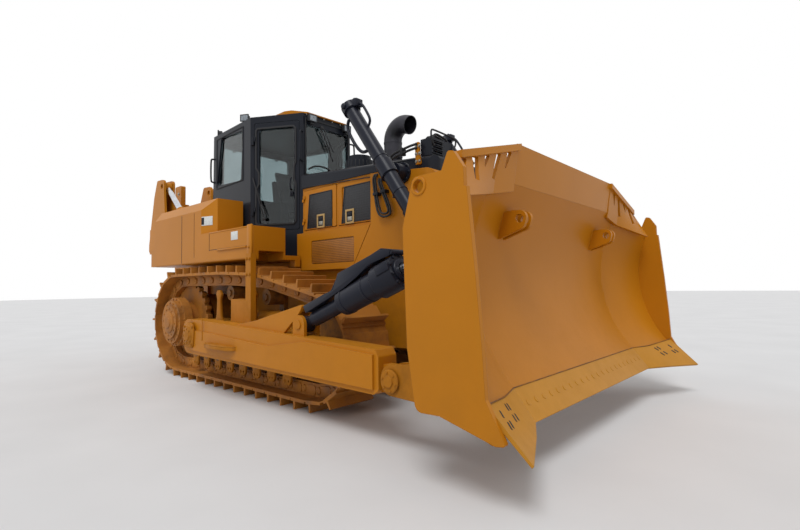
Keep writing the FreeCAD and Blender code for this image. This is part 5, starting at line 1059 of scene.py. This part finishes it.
def chain():
    """Matrices at the middle of each link of the right track, along the line through its pins."""
    front, rear = IDLER[0] + IDLER_PINS, SPROCKET[0] - SPROCKET_PINS
    low, top = SPROCKET[1] - SPROCKET_PINS, SPROCKET[1] + SPROCKET_PINS
    fall_x, fall_z = TRACK_FALL
    reach, drop = IDLER[0] - fall_x, IDLER[1] - fall_z
    slope = math.atan2(drop, reach) + math.asin(IDLER_PINS / math.hypot(reach, drop))
    corners = [(rear, low, SPROCKET_PINS), (front, low, IDLER_PINS),
               (front, fall_z + (front - fall_x) * math.tan(slope), IDLER_PINS),
               (fall_x, fall_z, TRACK_BEND), (TRACK_FLAT, top, TRACK_BEND), (rear, top, SPROCKET_PINS)]
    line = []
    for index, (x, z, radius) in enumerate(corners):
        here = Vector((x, z))
        before = (Vector(corners[index - 1][:2]) - here).normalized()
        after = (Vector(corners[(index + 1) % len(corners)][:2]) - here).normalized()
        half = before.angle(after) / 2
        centre = here + (before + after).normalized() * radius / math.sin(half)
        first = here + before * radius / math.tan(half) - centre
        last = here + after * radius / math.tan(half) - centre
        turn = first.angle_signed(last)
        for step in range(ARC_STEPS + 1):
            line.append(centre + Matrix.Rotation(-turn * step / ARC_STEPS, 2) @ first)
    line = line[ARC_STEPS:] + line[:ARC_STEPS] + [line[ARC_STEPS]]
    lengths = [(b - a).length for a, b in zip(line, line[1:])]
    pitch = sum(lengths) / LINKS
    pins, walked, index = [], 0, 0
    for number in range(LINKS):
        goal = FIRST_PIN % pitch + number * pitch
        while walked + lengths[index] < goal:
            walked += lengths[index]
            index += 1
        pins.append(line[index].lerp(line[index + 1], (goal - walked) / lengths[index]))
    places = []
    for first, last in zip(pins, pins[1:] + pins[:1]):
        middle, way = (first + last) / 2, last - first
        turn = Matrix.Rotation(-math.atan2(way.y, way.x), 4, "Y")
        places.append(Matrix.Translation(at(middle.x, 0, middle.y)) @ turn)
    return places


class DOZER_OT_undercarriage(bpy.types.Operator):
    """Bolts and covers of the drives, frames, rollers, hull and belly, the tracks' link plates, and treads"""
    bl_idname = "dozer.undercarriage"
    bl_label = "Undercarriage"

    def execute(self, context):
        size = context.scene.dozer_bolts.head * 1000
        drive_x, drive_z = SPROCKET
        rows = ring_of((drive_x, -1410, drive_z), OUT, 352, 20, 13)
        rows += ring_of((drive_x, -1470, drive_z), OUT, 292, 16, 13, 0.1)
        rows += ring_of((drive_x, -1500, drive_z), OUT, 205, 12, 12, 0.2)
        fitted_pair(bolt_heads(rows), "drive_bolts", "machine", "track_steel")
        cover = turned((drive_x, -1498, drive_z), OUT,
                       [(0, 168), (10, 168), (18, 150), (20, 96), (32, 88), (34, 0)])
        plug = turned((drive_x, -1498, drive_z - 134), OUT, [(0, 26), (14, 26), (18, 20), (20, 0)], 16)
        fitted_pair(joined([cover, plug]), "drive_cover", "machine", "track_steel")
        plates = [plate([(x - 150, z), (x - 100, z + 70), (x + 100, z + 70), (x + 150, z), (x + 100, z - 70),
                         (x - 100, z - 70)], "xz", -1343, -1353, 3) for x, z in FRAME_PLATES]
        fitted_pair(joined(plates), "frame_cover_plates", "machine", "low_enamel_shaded")
        rows = [((x + a, -1353, z + b), OUT, 11) for x, z in FRAME_PLATES
                for a in (-92, 92) for b in (-44, 44)]
        rows += row_of((1000, -1345, 600), (2400, -1345, 600), 9, OUT, 12)
        rows += [((x, -1520, z), OUT, size) for x in (2258, 2322) for z in (700, 900, 1500, 1690)]
        fitted_pair(bolt_heads(rows), "frame_bolts", "machine", "low_enamel_shaded")
        guards, rows = [], []
        for x in ROLLERS:
            outline = [(x - 132, 600), (x + 132, 600), (x + 122, 440), (x + 84, 390), (x + 78, 262),
                       (x + 44, 216), (x - 44, 216), (x - 78, 262), (x - 84, 390), (x - 122, 440)]
            guards.append(plate(outline, "xz", -1330, -1362, 7))
            rows += [((x + a, -1362, 262), OUT, 13) for a in (-34, 34)]
            rows += [((x + a, -1362, b), OUT, 15) for a in (-92, 92) for b in (470, 550)]
        fitted_pair(joined(guards), "roller_guards", "machine", "low_enamel_shaded")
        fitted_pair(bolt_heads(rows), "roller_guard_bolts", "machine", "low_enamel_shaded")
        link = plate([(-96, -44), (-70, -62), (70, -62), (96, -44), (96, 30), (70, 52), (-70, 52), (-96, 30)],
                     "xz", -1250, -1264, 4)
        boss = turned((-108, -1262, 0), OUT, [(-4, 42), (8, 42), (12, 36), (13, 18), (9, 14), (8, 0)], 14)
        pair = joined([link, boss])
        pair.data.transform(Matrix.Translation(-at(0, 0, 0)))
        fitted_pair(repeated(pair, chain()), "track_links", "machine", "track_steel")
        columns = [plate([(x - 110, 878), (x + 110, 878), (x + 60, 960), (x + 46, 1180), (x + 80, 1250),
                          (x + 40, 1310), (x - 40, 1310), (x - 76, 1262), (x - 46, 1180), (x - 60, 960)],
                         "xz", -1285, -1325, 10) for x in CARRIERS]
        fitted_pair(joined(columns), "carrier_columns", "machine", "low_enamel_shaded")
        round_cap = [(-40, 62), (20, 62), (26, 56), (28, 24), (36, 20), (37, 0)]
        caps = [turned((x, -1340, ROLLER_Z), OUT, round_cap, 20) for x in ROLLERS]
        fitted_pair(joined(caps), "roller_caps", "machine", "roller_steel")
        treads = [block((x, x + 8), (-1440, -1356), (1195, 1203), 1) for x in range(1900, 2220, 40)]
        fitted_pair(joined(treads), "step_treads", "machine", "low_enamel_shaded")
        rows = row_of((500, -560, 1500), (1880, -560, 1500), 8, OUT, 15)
        fitted_pair(bolt_heads(rows), "hull_bolts", "machine", "low_enamel_shaded")
        rows = [((x, y, 599), DOWN, size) for x in range(0, 3601, 900) for y in (-440, -150, 150, 440)]
        fitted(bolt_heads(rows), "belly_bolts", "machine", "low_enamel_shaded")
        seams = [plate(oblong((x - 6, x + 6), (-520, 520)), "xy", 594, 602, 1) for x in range(450, 3151, 900)]
        fitted(joined(seams), "belly_seams", "machine", "low_enamel_shaded")
        deck = [block((x, x + 10), (-860, -560), (1759, 1766), 1) for x in range(1160, 2100, 60)]
        fitted_pair(joined(deck), "deck_treads", "machine", "low_enamel_shaded")
        return {"FINISHED"}


ARM_SIDE = -1748


class DOZER_OT_push_arms(bpy.types.Operator):
    """Pivot and pin caps, steps, rear castings and bolts of the push arms"""
    bl_idname = "dozer.push_arms"
    bl_label = "Push arms"

    def execute(self, context):
        pivot_x, pivot_z = ARM_PIVOT
        pin_x, pin_z = ARM_PIN
        cap = turned((pivot_x, -1788, pivot_z), OUT,
                     [(0, 118), (8, 118), (12, 112), (14, 70), (24, 64), (26, 0)])
        fitted_pair(cap, "trunnion_cap", "push_arms", "low_enamel_shaded")
        rows = ring_of((pivot_x, -1798, pivot_z), OUT, 92, 8, 13)
        fitted_pair(bolt_heads(rows), "trunnion_bolts", "push_arms", "low_enamel_shaded")
        cap = turned((pin_x, ARM_SIDE, pin_z), OUT,
                     [(0, 96), (12, 96), (18, 88), (20, 50), (32, 46), (34, 0)])
        fitted_pair(cap, "arm_front_cap", "push_arms", "low_enamel_shaded")
        rows = ring_of((pin_x, ARM_SIDE - 16, pin_z), OUT, 72, 6, 11)
        fitted_pair(bolt_heads(rows), "arm_front_bolts", "push_arms", "low_enamel_shaded")
        outline = [(1711, ARM_SIDE), (2469, ARM_SIDE), (2440, -1800), (2340, -1846), (2090, -1866),
                   (1840, -1846), (1740, -1800)]
        step = [plate(outline, "xy", 652, 660, 2), rim(outline, "xy", 616, 664, 9, 2)]
        step += [block((x - 5, x + 5), (-1846, ARM_SIDE), (630, 656), 2) for x in (1860, 2090, 2320)]
        fitted_pair(joined(step), "arm_step", "push_arms", "low_enamel_shaded")
        outline = [(1120, 610), (1150, 570), (1370, 570), (1400, 610), (1420, 800), (1390, 872), (1290, 900),
                   (1160, 880), (1120, 820)]
        casting = plate(outline, "xz", -1768, -1792, 8)
        seam = plate(oblong((1622, 1634), (680, 950)), "xz", -1770, -1778, 2)
        fitted_pair(joined([casting, seam]), "arm_rear_casting", "push_arms", "low_enamel_shaded")
        rows = [((x, -1792, z), OUT, 15) for x, z in ((1160, 612), (1360, 612), (1385, 840), (1165, 836))]
        fitted_pair(bolt_heads(rows), "arm_rear_bolts", "push_arms", "low_enamel_shaded")
        return {"FINISHED"}


# Outline of the cover over the tilt cylinder, and the middle of its valve block
TILT_COVER = [(3637, 1148), (3679, 1081), (4051, 1236), (4246, 1323), (4420, 1420), (4574, 1521),
              (4820, 1589), (4831, 1639), (4701, 1639), (4164, 1458), (4101, 1308), (3962, 1268)]
TILT_VALVE = (4780, -1733, 1480)


class DOZER_OT_struts(bpy.types.Operator):
    """Gland, bands, bolts, valve block and cover side of the tilt cylinder, and the brace's lock bolts"""
    bl_idname = "dozer.struts"
    bl_label = "Tilt cylinder and brace"

    def execute(self, context):
        way, _, on_tilt = beside(STRUT_LOW, STRUT_HIGH, -STRUT_Y)
        _, _, on_brace = beside(STRUT_LOW, STRUT_HIGH, STRUT_Y)
        rows = ring_of(on_tilt(1410), way, 136, 10, 13)
        rows += ring_of(on_tilt(1150), -way, 136, 10, 11, 0.3)
        fitted(bolt_heads(rows), "tilt_gland_bolts", "strut_tubes", "cylinder_enamel")
        gland = turned(on_tilt(1404), way, [(0, 104), (18, 104), (26, 96), (28, 60)])
        fitted(gland, "tilt_gland", "strut_tubes", "cylinder_enamel")
        valve = block_round(TILT_VALVE, (80, 29, 40), 8)
        middle = Matrix.Translation(at(TILT_VALVE[0], 0, TILT_VALVE[2]))
        valve.data.transform(middle @ Matrix.Rotation(-math.atan2(way.z, way.x), 4, "Y") @ middle.inverted())
        fitted(valve, "tilt_valve", "strut_tubes", "cylinder_enamel")
        side = plate(TILT_COVER, "xz", -1693, -1701, 3)
        fitted(side, "tilt_cover_side", "strut_tubes", "cylinder_enamel")
        bands = [turned(on_tilt(distance), way, [(-12, 120), (-9, 129), (9, 129), (12, 120)])
                 for distance in (700, 1000)]
        fitted(joined(bands), "tilt_bands", "strut_tubes", "cylinder_enamel")
        rows = ring_of(on_brace(1350), way, 78, 6, 10)
        fitted(bolt_heads(rows), "brace_lock_bolts", "strut_tubes", "zinc")
        return {"FINISHED"}


# Distances of the two bands and of the cap end along the lift cylinder, from its pivot
LIFT_BANDS, LIFT_CAP = (-160, 330), -1020


class DOZER_OT_lift(bpy.types.Operator):
    """Cap fittings, fixed pipes, clamp bands and bearing bolts of the two lift cylinders"""
    bl_idname = "dozer.lift"
    bl_label = "Lift cylinders"

    def execute(self, context):
        way, square, on_lift = beside(LIFT_PIVOT, LIFT_EYE, -LIFT_Y)
        cap = ring_of(on_lift(LIFT_CAP), -way, 76, 6, 15, 0.4)
        gland = ring_of(on_lift(690), way, 76, 8, 11)
        fitted_pair(bolt_heads(cap + gland), "lift_bolts", "lift_barrels",
                    "cylinder_enamel")
        ports = [block_round(on_lift(-960, 96), (58, 52, 44), 8),
                 block_round(on_lift(560, 104), (24, 34, 24), 7)]
        fitted_pair(joined(ports), "lift_ports", "lift_barrels", "cylinder_enamel")
        line = pipe([on_lift(*row) for row in ((-940, 90), (-925, 130), (-880, 160), (-760, 160), (-640, 150),
                                               (-600, 110), (-590, 70))], 15)
        fitted_pair(line, "lift_pipe", "lift_barrels", "cylinder_enamel", 60)
        bands = [turned(on_lift(distance), way, [(-12, 79), (-9, 86), (9, 86), (12, 79)])
                 for distance in LIFT_BANDS]
        for distance in LIFT_BANDS:
            corners = zip(on_lift(distance - 20, -96, -24), on_lift(distance + 20, -70, 24))
            bands.append(block(*(sorted(limits) for limits in corners), 4))
        fitted_pair(joined(bands), "lift_bands", "lift_barrels", "cylinder_enamel")
        head = [turned(on_lift(LIFT_CAP, 30), -way, [(-4, 50), (20, 50), (30, 40), (34, 0)], 20),
                turned(on_lift(-1000, 96), square, [(-20, 34), (22, 34), (30, 26), (32, 0)], 18),
                turned(on_lift(-985, 0, -98), OUT, [(-14, 34), (20, 34), (28, 26), (30, 0)], 18)]
        fitted_pair(joined(head), "lift_head_fittings", "lift_barrels", "cylinder_enamel")
        stay = pipe([on_lift(*row) for row in ((-900, -92), (-880, -150), (-760, -190), (-520, -190),
                                               (-400, -150), (-380, -84))], 19)
        fitted_pair(stay, "lift_stay", "lift_barrels", "cylinder_enamel", 60)
        rows = ring_of((LIFT_PIVOT[0], -662, LIFT_PIVOT[1]), OUT, 104, 8, 12)
        fitted_pair(bolt_heads(rows), "bearing_bolts", "machine", "cylinder_enamel")
        loops = []
        for s in (0, 34):
            loops.append(pipe([(3610 + s, -646, 2640), (3613 + s, -676, 2615), (3618 + s, -690, 2560),
                               (3640 + s, -690, 2420), (3664 + s, -690, 2280), (3690 + s, -690, 2180 + s),
                               (3740, -690, 2132 + s), (3820, -690, 2118 + s), (3892 - s, -690, 2140 + s),
                               (3888 - s, -690, 2210), (3850 - s, -690, 2300), (3790 - s, -690, 2420),
                               (3740 - s, -686, 2520), (3722 - s, -668, 2560), (3716 - s, -646, 2580)], 13))
        fitted_pair(joined(loops), "lift_feed_pipes", "machine", "rubber", 60)
        clamps = [block_round((x, -675, z), (39, 37, 18), 5) for x, z in ((3667, 2398), (3787, 2413))]
        fitted_pair(joined(clamps), "feed_pipe_clamps", "machine", "charcoal_enamel")
        return {"FINISHED"}


# Fittings of the blade and ripper

# The slots of one end bit, the way out of its face and the way that they run down it; y is on the left.
END_BIT_SLOTS = ((6024, 2000, 561), (5944, 1806, 549), (5930, 1756, 540), (6010, 1827, 496),
                 (5990, 1766, 485), (6084, 2018, 504), (6066, 1966, 497))
END_BIT_OUT, END_BIT_DOWN = (0.66, 0.29, 0.69), (0.62, 0.45, -0.65)
EDGE_OUT = (0.788, 0, 0.617)


class DOZER_OT_blade(bpy.types.Operator):
    """Edge bolts, end-bit slots and edge seams of the blade, the slots and seams drawn dark as painted shade, and
    the rings on its end plates
    """
    bl_idname = "dozer.blade"
    bl_label = "Blade"

    def execute(self, context):
        rows = row_of((5850, -1330, 478), (5850, 1330, 478), 22, EDGE_OUT, 24)
        fitted(plugs(laid("cutting_edges", rows)), "edge_bolts", "blade", "edge_steel")
        # each end-bit slot is a thin black pad on the face: painted shade for the recess
        model = plate(oblong((-28, 28), (-9, 9)), "xy", -4, 3, 2)
        model.data.transform(Matrix.Translation(-at(0, 0, 0)))
        places = []
        for x, y, z in END_BIT_SLOTS:
            for _, sign in SIDES:
                out = (END_BIT_OUT[0], sign * END_BIT_OUT[1], END_BIT_OUT[2])
                down = Vector((END_BIT_DOWN[0], sign * END_BIT_DOWN[1], END_BIT_DOWN[2]))
                place, normal, _ = laid("cutting_edges", [((x, sign * y, z), out, 1)])[0]
                across = normal.cross(down).normalized()
                turn = Matrix((across.cross(normal), across, normal)).transposed().to_4x4()
                places.append(Matrix.Translation(at(*place)) @ turn)
        fitted(repeated(model, places), "end_bit_slot_shades", "blade", "rubber")
        # the joints along the cutting edge are thin dark bars: painted shadow in the seams
        seams = [pipe([(5772, sign * 1400, 583), (5820, sign * 1550, 583), (5868, sign * 1700, 583),
                       (6000, sign * 2112, 636)], 4, 2) for _, sign in SIDES]
        seams.append(pipe([(5772, y, 583) for y in (-1400, 0, 1400)], 4, 2))
        fitted(joined(seams), "edge_seam_shadows", "blade", "roller_steel", 60)
        ring = turned((5530, -2156, 1990), OUT, [(0, 62), (6, 62), (9, 58), (9, 44), (0, 44)])
        fitted_pair(ring, "end_plate_eye", "blade", "enamel")
        return {"FINISHED"}


RIPPER_ARM_PIN, RIPPER_LINK_FOOT, RIPPER_LINK_HEAD = (-820, 950), (-880, 1900), (-2690, 3460)


class DOZER_OT_ripper(bpy.types.Operator):
    """Pin caps, bolts and chromed link rods of the ripper"""
    bl_idname = "dozer.ripper"
    bl_label = "Ripper"

    def execute(self, context):
        for name, (x, z) in (("arm", RIPPER_ARM_PIN), ("link", RIPPER_LINK_FOOT)):
            place = laid("ripper_bracket", [((x, -900, z), OUT, 1)])[0][0]
            pin = turned(place, OUT, [(-4, 78), (10, 78), (16, 70), (18, 30), (26, 26), (27, 0)])
            fitted_pair(pin, f"ripper_{name}_pin_cap", "machine", "low_enamel_shaded")
            rows = ring_of((place[0], place[1] - 14, place[2]), OUT, 56, 6, 9)
            fitted_pair(bolt_heads(rows), f"ripper_{name}_pin_bolts", "machine", "zinc")
        way, _, on_link = beside(RIPPER_LINK_FOOT, RIPPER_LINK_HEAD, -500)
        sleeve = turned(on_link(1508), way, [(0, 49), (0, 53), (780, 53), (780, 49)])
        fitted_pair(sleeve, "ripper_link_rod_chrome", "ripper_links", "chrome")
        rows = []
        for z in (2160, 2520):
            rows += row_of((-3400, -520, z), (-3400, 520, z), 6, BACKWARD, 16)
        fitted(bolt_heads(laid("ripper_beam", rows)), "ripper_beam_bolts", "ripper_beam",
               "enamel")
        rows = [((-3200, -80, z), OUT, 24) for z in range(2700, 3451, 250)]
        fitted_pair(bolt_heads(laid("ripper_shank", rows)), "shank_pins", "ripper_beam",
                    "zinc")
        return {"FINISHED"}


# Camera and stage


class DOZER_OT_camera(bpy.types.Operator):
    """Sets the camera to the photograph's view"""
    bl_idname = "dozer.camera"
    bl_label = "Camera"

    def execute(self, context):
        view = context.scene.dozer_camera
        heading, pitch, roll = view.turn
        ahead = Vector((math.cos(heading) * math.cos(pitch), math.sin(heading) * math.cos(pitch),
                        math.sin(pitch)))
        right = Vector((math.sin(heading), -math.cos(heading), 0))
        up = right.cross(ahead)
        across = math.cos(roll) * right + math.sin(roll) * up
        rise = -math.sin(roll) * right + math.cos(roll) * up
        bpy.ops.object.camera_add()
        camera = context.object
        camera.name = "photo_camera"
        turn = Matrix((across, rise, -ahead)).transposed().to_4x4()
        camera.matrix_world = Matrix.Translation(Vector(view.place)) @ turn
        camera.data.sensor_width = 36
        camera.data.lens = view.lens
        camera.data.clip_end = 200
        context.scene.camera = camera
        return {"FINISHED"}


class DOZER_OT_stage(bpy.types.Operator):
    """Pale floor, even light from all round and a soft light from above"""
    bl_idname = "dozer.stage"
    bl_label = "Stage"

    def execute(self, context):
        stage = context.scene.dozer_stage
        deselect()
        bpy.ops.mesh.primitive_plane_add(size=160)
        floor = context.object
        floor.name = "floor"
        # poured concrete, dry: an even pale grey with faint cloudy patches over a metre wide
        made, tree, here = blank("pale_floor")
        noise = add(tree, "ShaderNodeTexNoise", {"Vector": here, "Scale": per(1250), "Detail": 5.0})
        tone = add(tree, "ShaderNodeValToRGB", {"Fac": (noise, 0)},
                   [(0.3, shade(tuple(stage.floor), 0.97)), (0.7, shade(tuple(stage.floor), 1.03))])
        floor.data.materials.append(surfaced(made, {"Base Color": (tone, 0), "Roughness": 0.85}))
        bpy.ops.object.light_add(type="SUN", rotation=(math.radians(28), math.radians(14), 0))
        sun = context.object
        sun.name = "soft_sun"
        sun.data.energy = stage.sun
        sun.data.angle = math.radians(25)
        world = bpy.data.worlds.new("white_surround")
        context.scene.world = world
        world.use_nodes = True
        tree = world.node_tree
        tree.nodes.clear()
        path = add(tree, "ShaderNodeLightPath")
        seen = add(tree, "ShaderNodeMath", {0: (path, "Is Camera Ray"), 1: (path, "Is Glossy Ray")},
                   operation="MAXIMUM")
        seen = add(tree, "ShaderNodeMath", {0: (seen, 0), 1: (path, "Is Transmission Ray")},
                   operation="MAXIMUM")
        power = add(tree, "ShaderNodeMapRange", {0: (seen, 0), 1: 0.0, 2: 1.0, 3: stage.sky, 4: 1.0})
        light = add(tree, "ShaderNodeBackground", {"Color": (1, 1, 1, 1), "Strength": (power, 0)})
        add(tree, "ShaderNodeOutputWorld", {"Surface": (light, 0)})
        context.scene.view_settings.view_transform = "Standard"
        return {"FINISHED"}


STEPS = (DOZER_OT_camera, DOZER_OT_finishes, DOZER_OT_seat, DOZER_OT_hatches, DOZER_OT_hood, DOZER_OT_exhaust,
         DOZER_OT_front_box, DOZER_OT_cab_lamps, DOZER_OT_cab, DOZER_OT_cab_inside, DOZER_OT_side_boxes,
         DOZER_OT_undercarriage, DOZER_OT_push_arms, DOZER_OT_struts, DOZER_OT_lift, DOZER_OT_blade,
         DOZER_OT_ripper, DOZER_OT_stage)
SETTINGS = (("dozer_paint", PaintSettings), ("dozer_bolts", FastenerSettings),
            ("dozer_camera", CameraSettings), ("dozer_stage", StageSettings))


class DOZER_PT_panel(bpy.types.Panel):
    """Lists the steps that dress the bulldozer"""
    bl_idname = "DOZER_PT_panel"
    bl_label = "Bulldozer"
    bl_space_type = "VIEW_3D"
    bl_region_type = "UI"
    bl_category = "Bulldozer"

    def draw(self, context):
        for step in STEPS:
            self.layout.operator(step.bl_idname)


def register():
    for name, group in SETTINGS:
        bpy.utils.register_class(group)
        setattr(bpy.types.Scene, name, bpy.props.PointerProperty(type=group))
    for step in STEPS:
        bpy.utils.register_class(step)
    bpy.utils.register_class(DOZER_PT_panel)


def unregister():
    bpy.utils.unregister_class(DOZER_PT_panel)
    for step in reversed(STEPS):
        bpy.utils.unregister_class(step)
    for name, group in reversed(SETTINGS):
        delattr(bpy.types.Scene, name)
        bpy.utils.unregister_class(group)


def main():
    register()
    for step in STEPS:
        group, name = step.bl_idname.split(".")
        getattr(getattr(bpy.ops, group), name)()


if __name__ == "__main__":
    main()
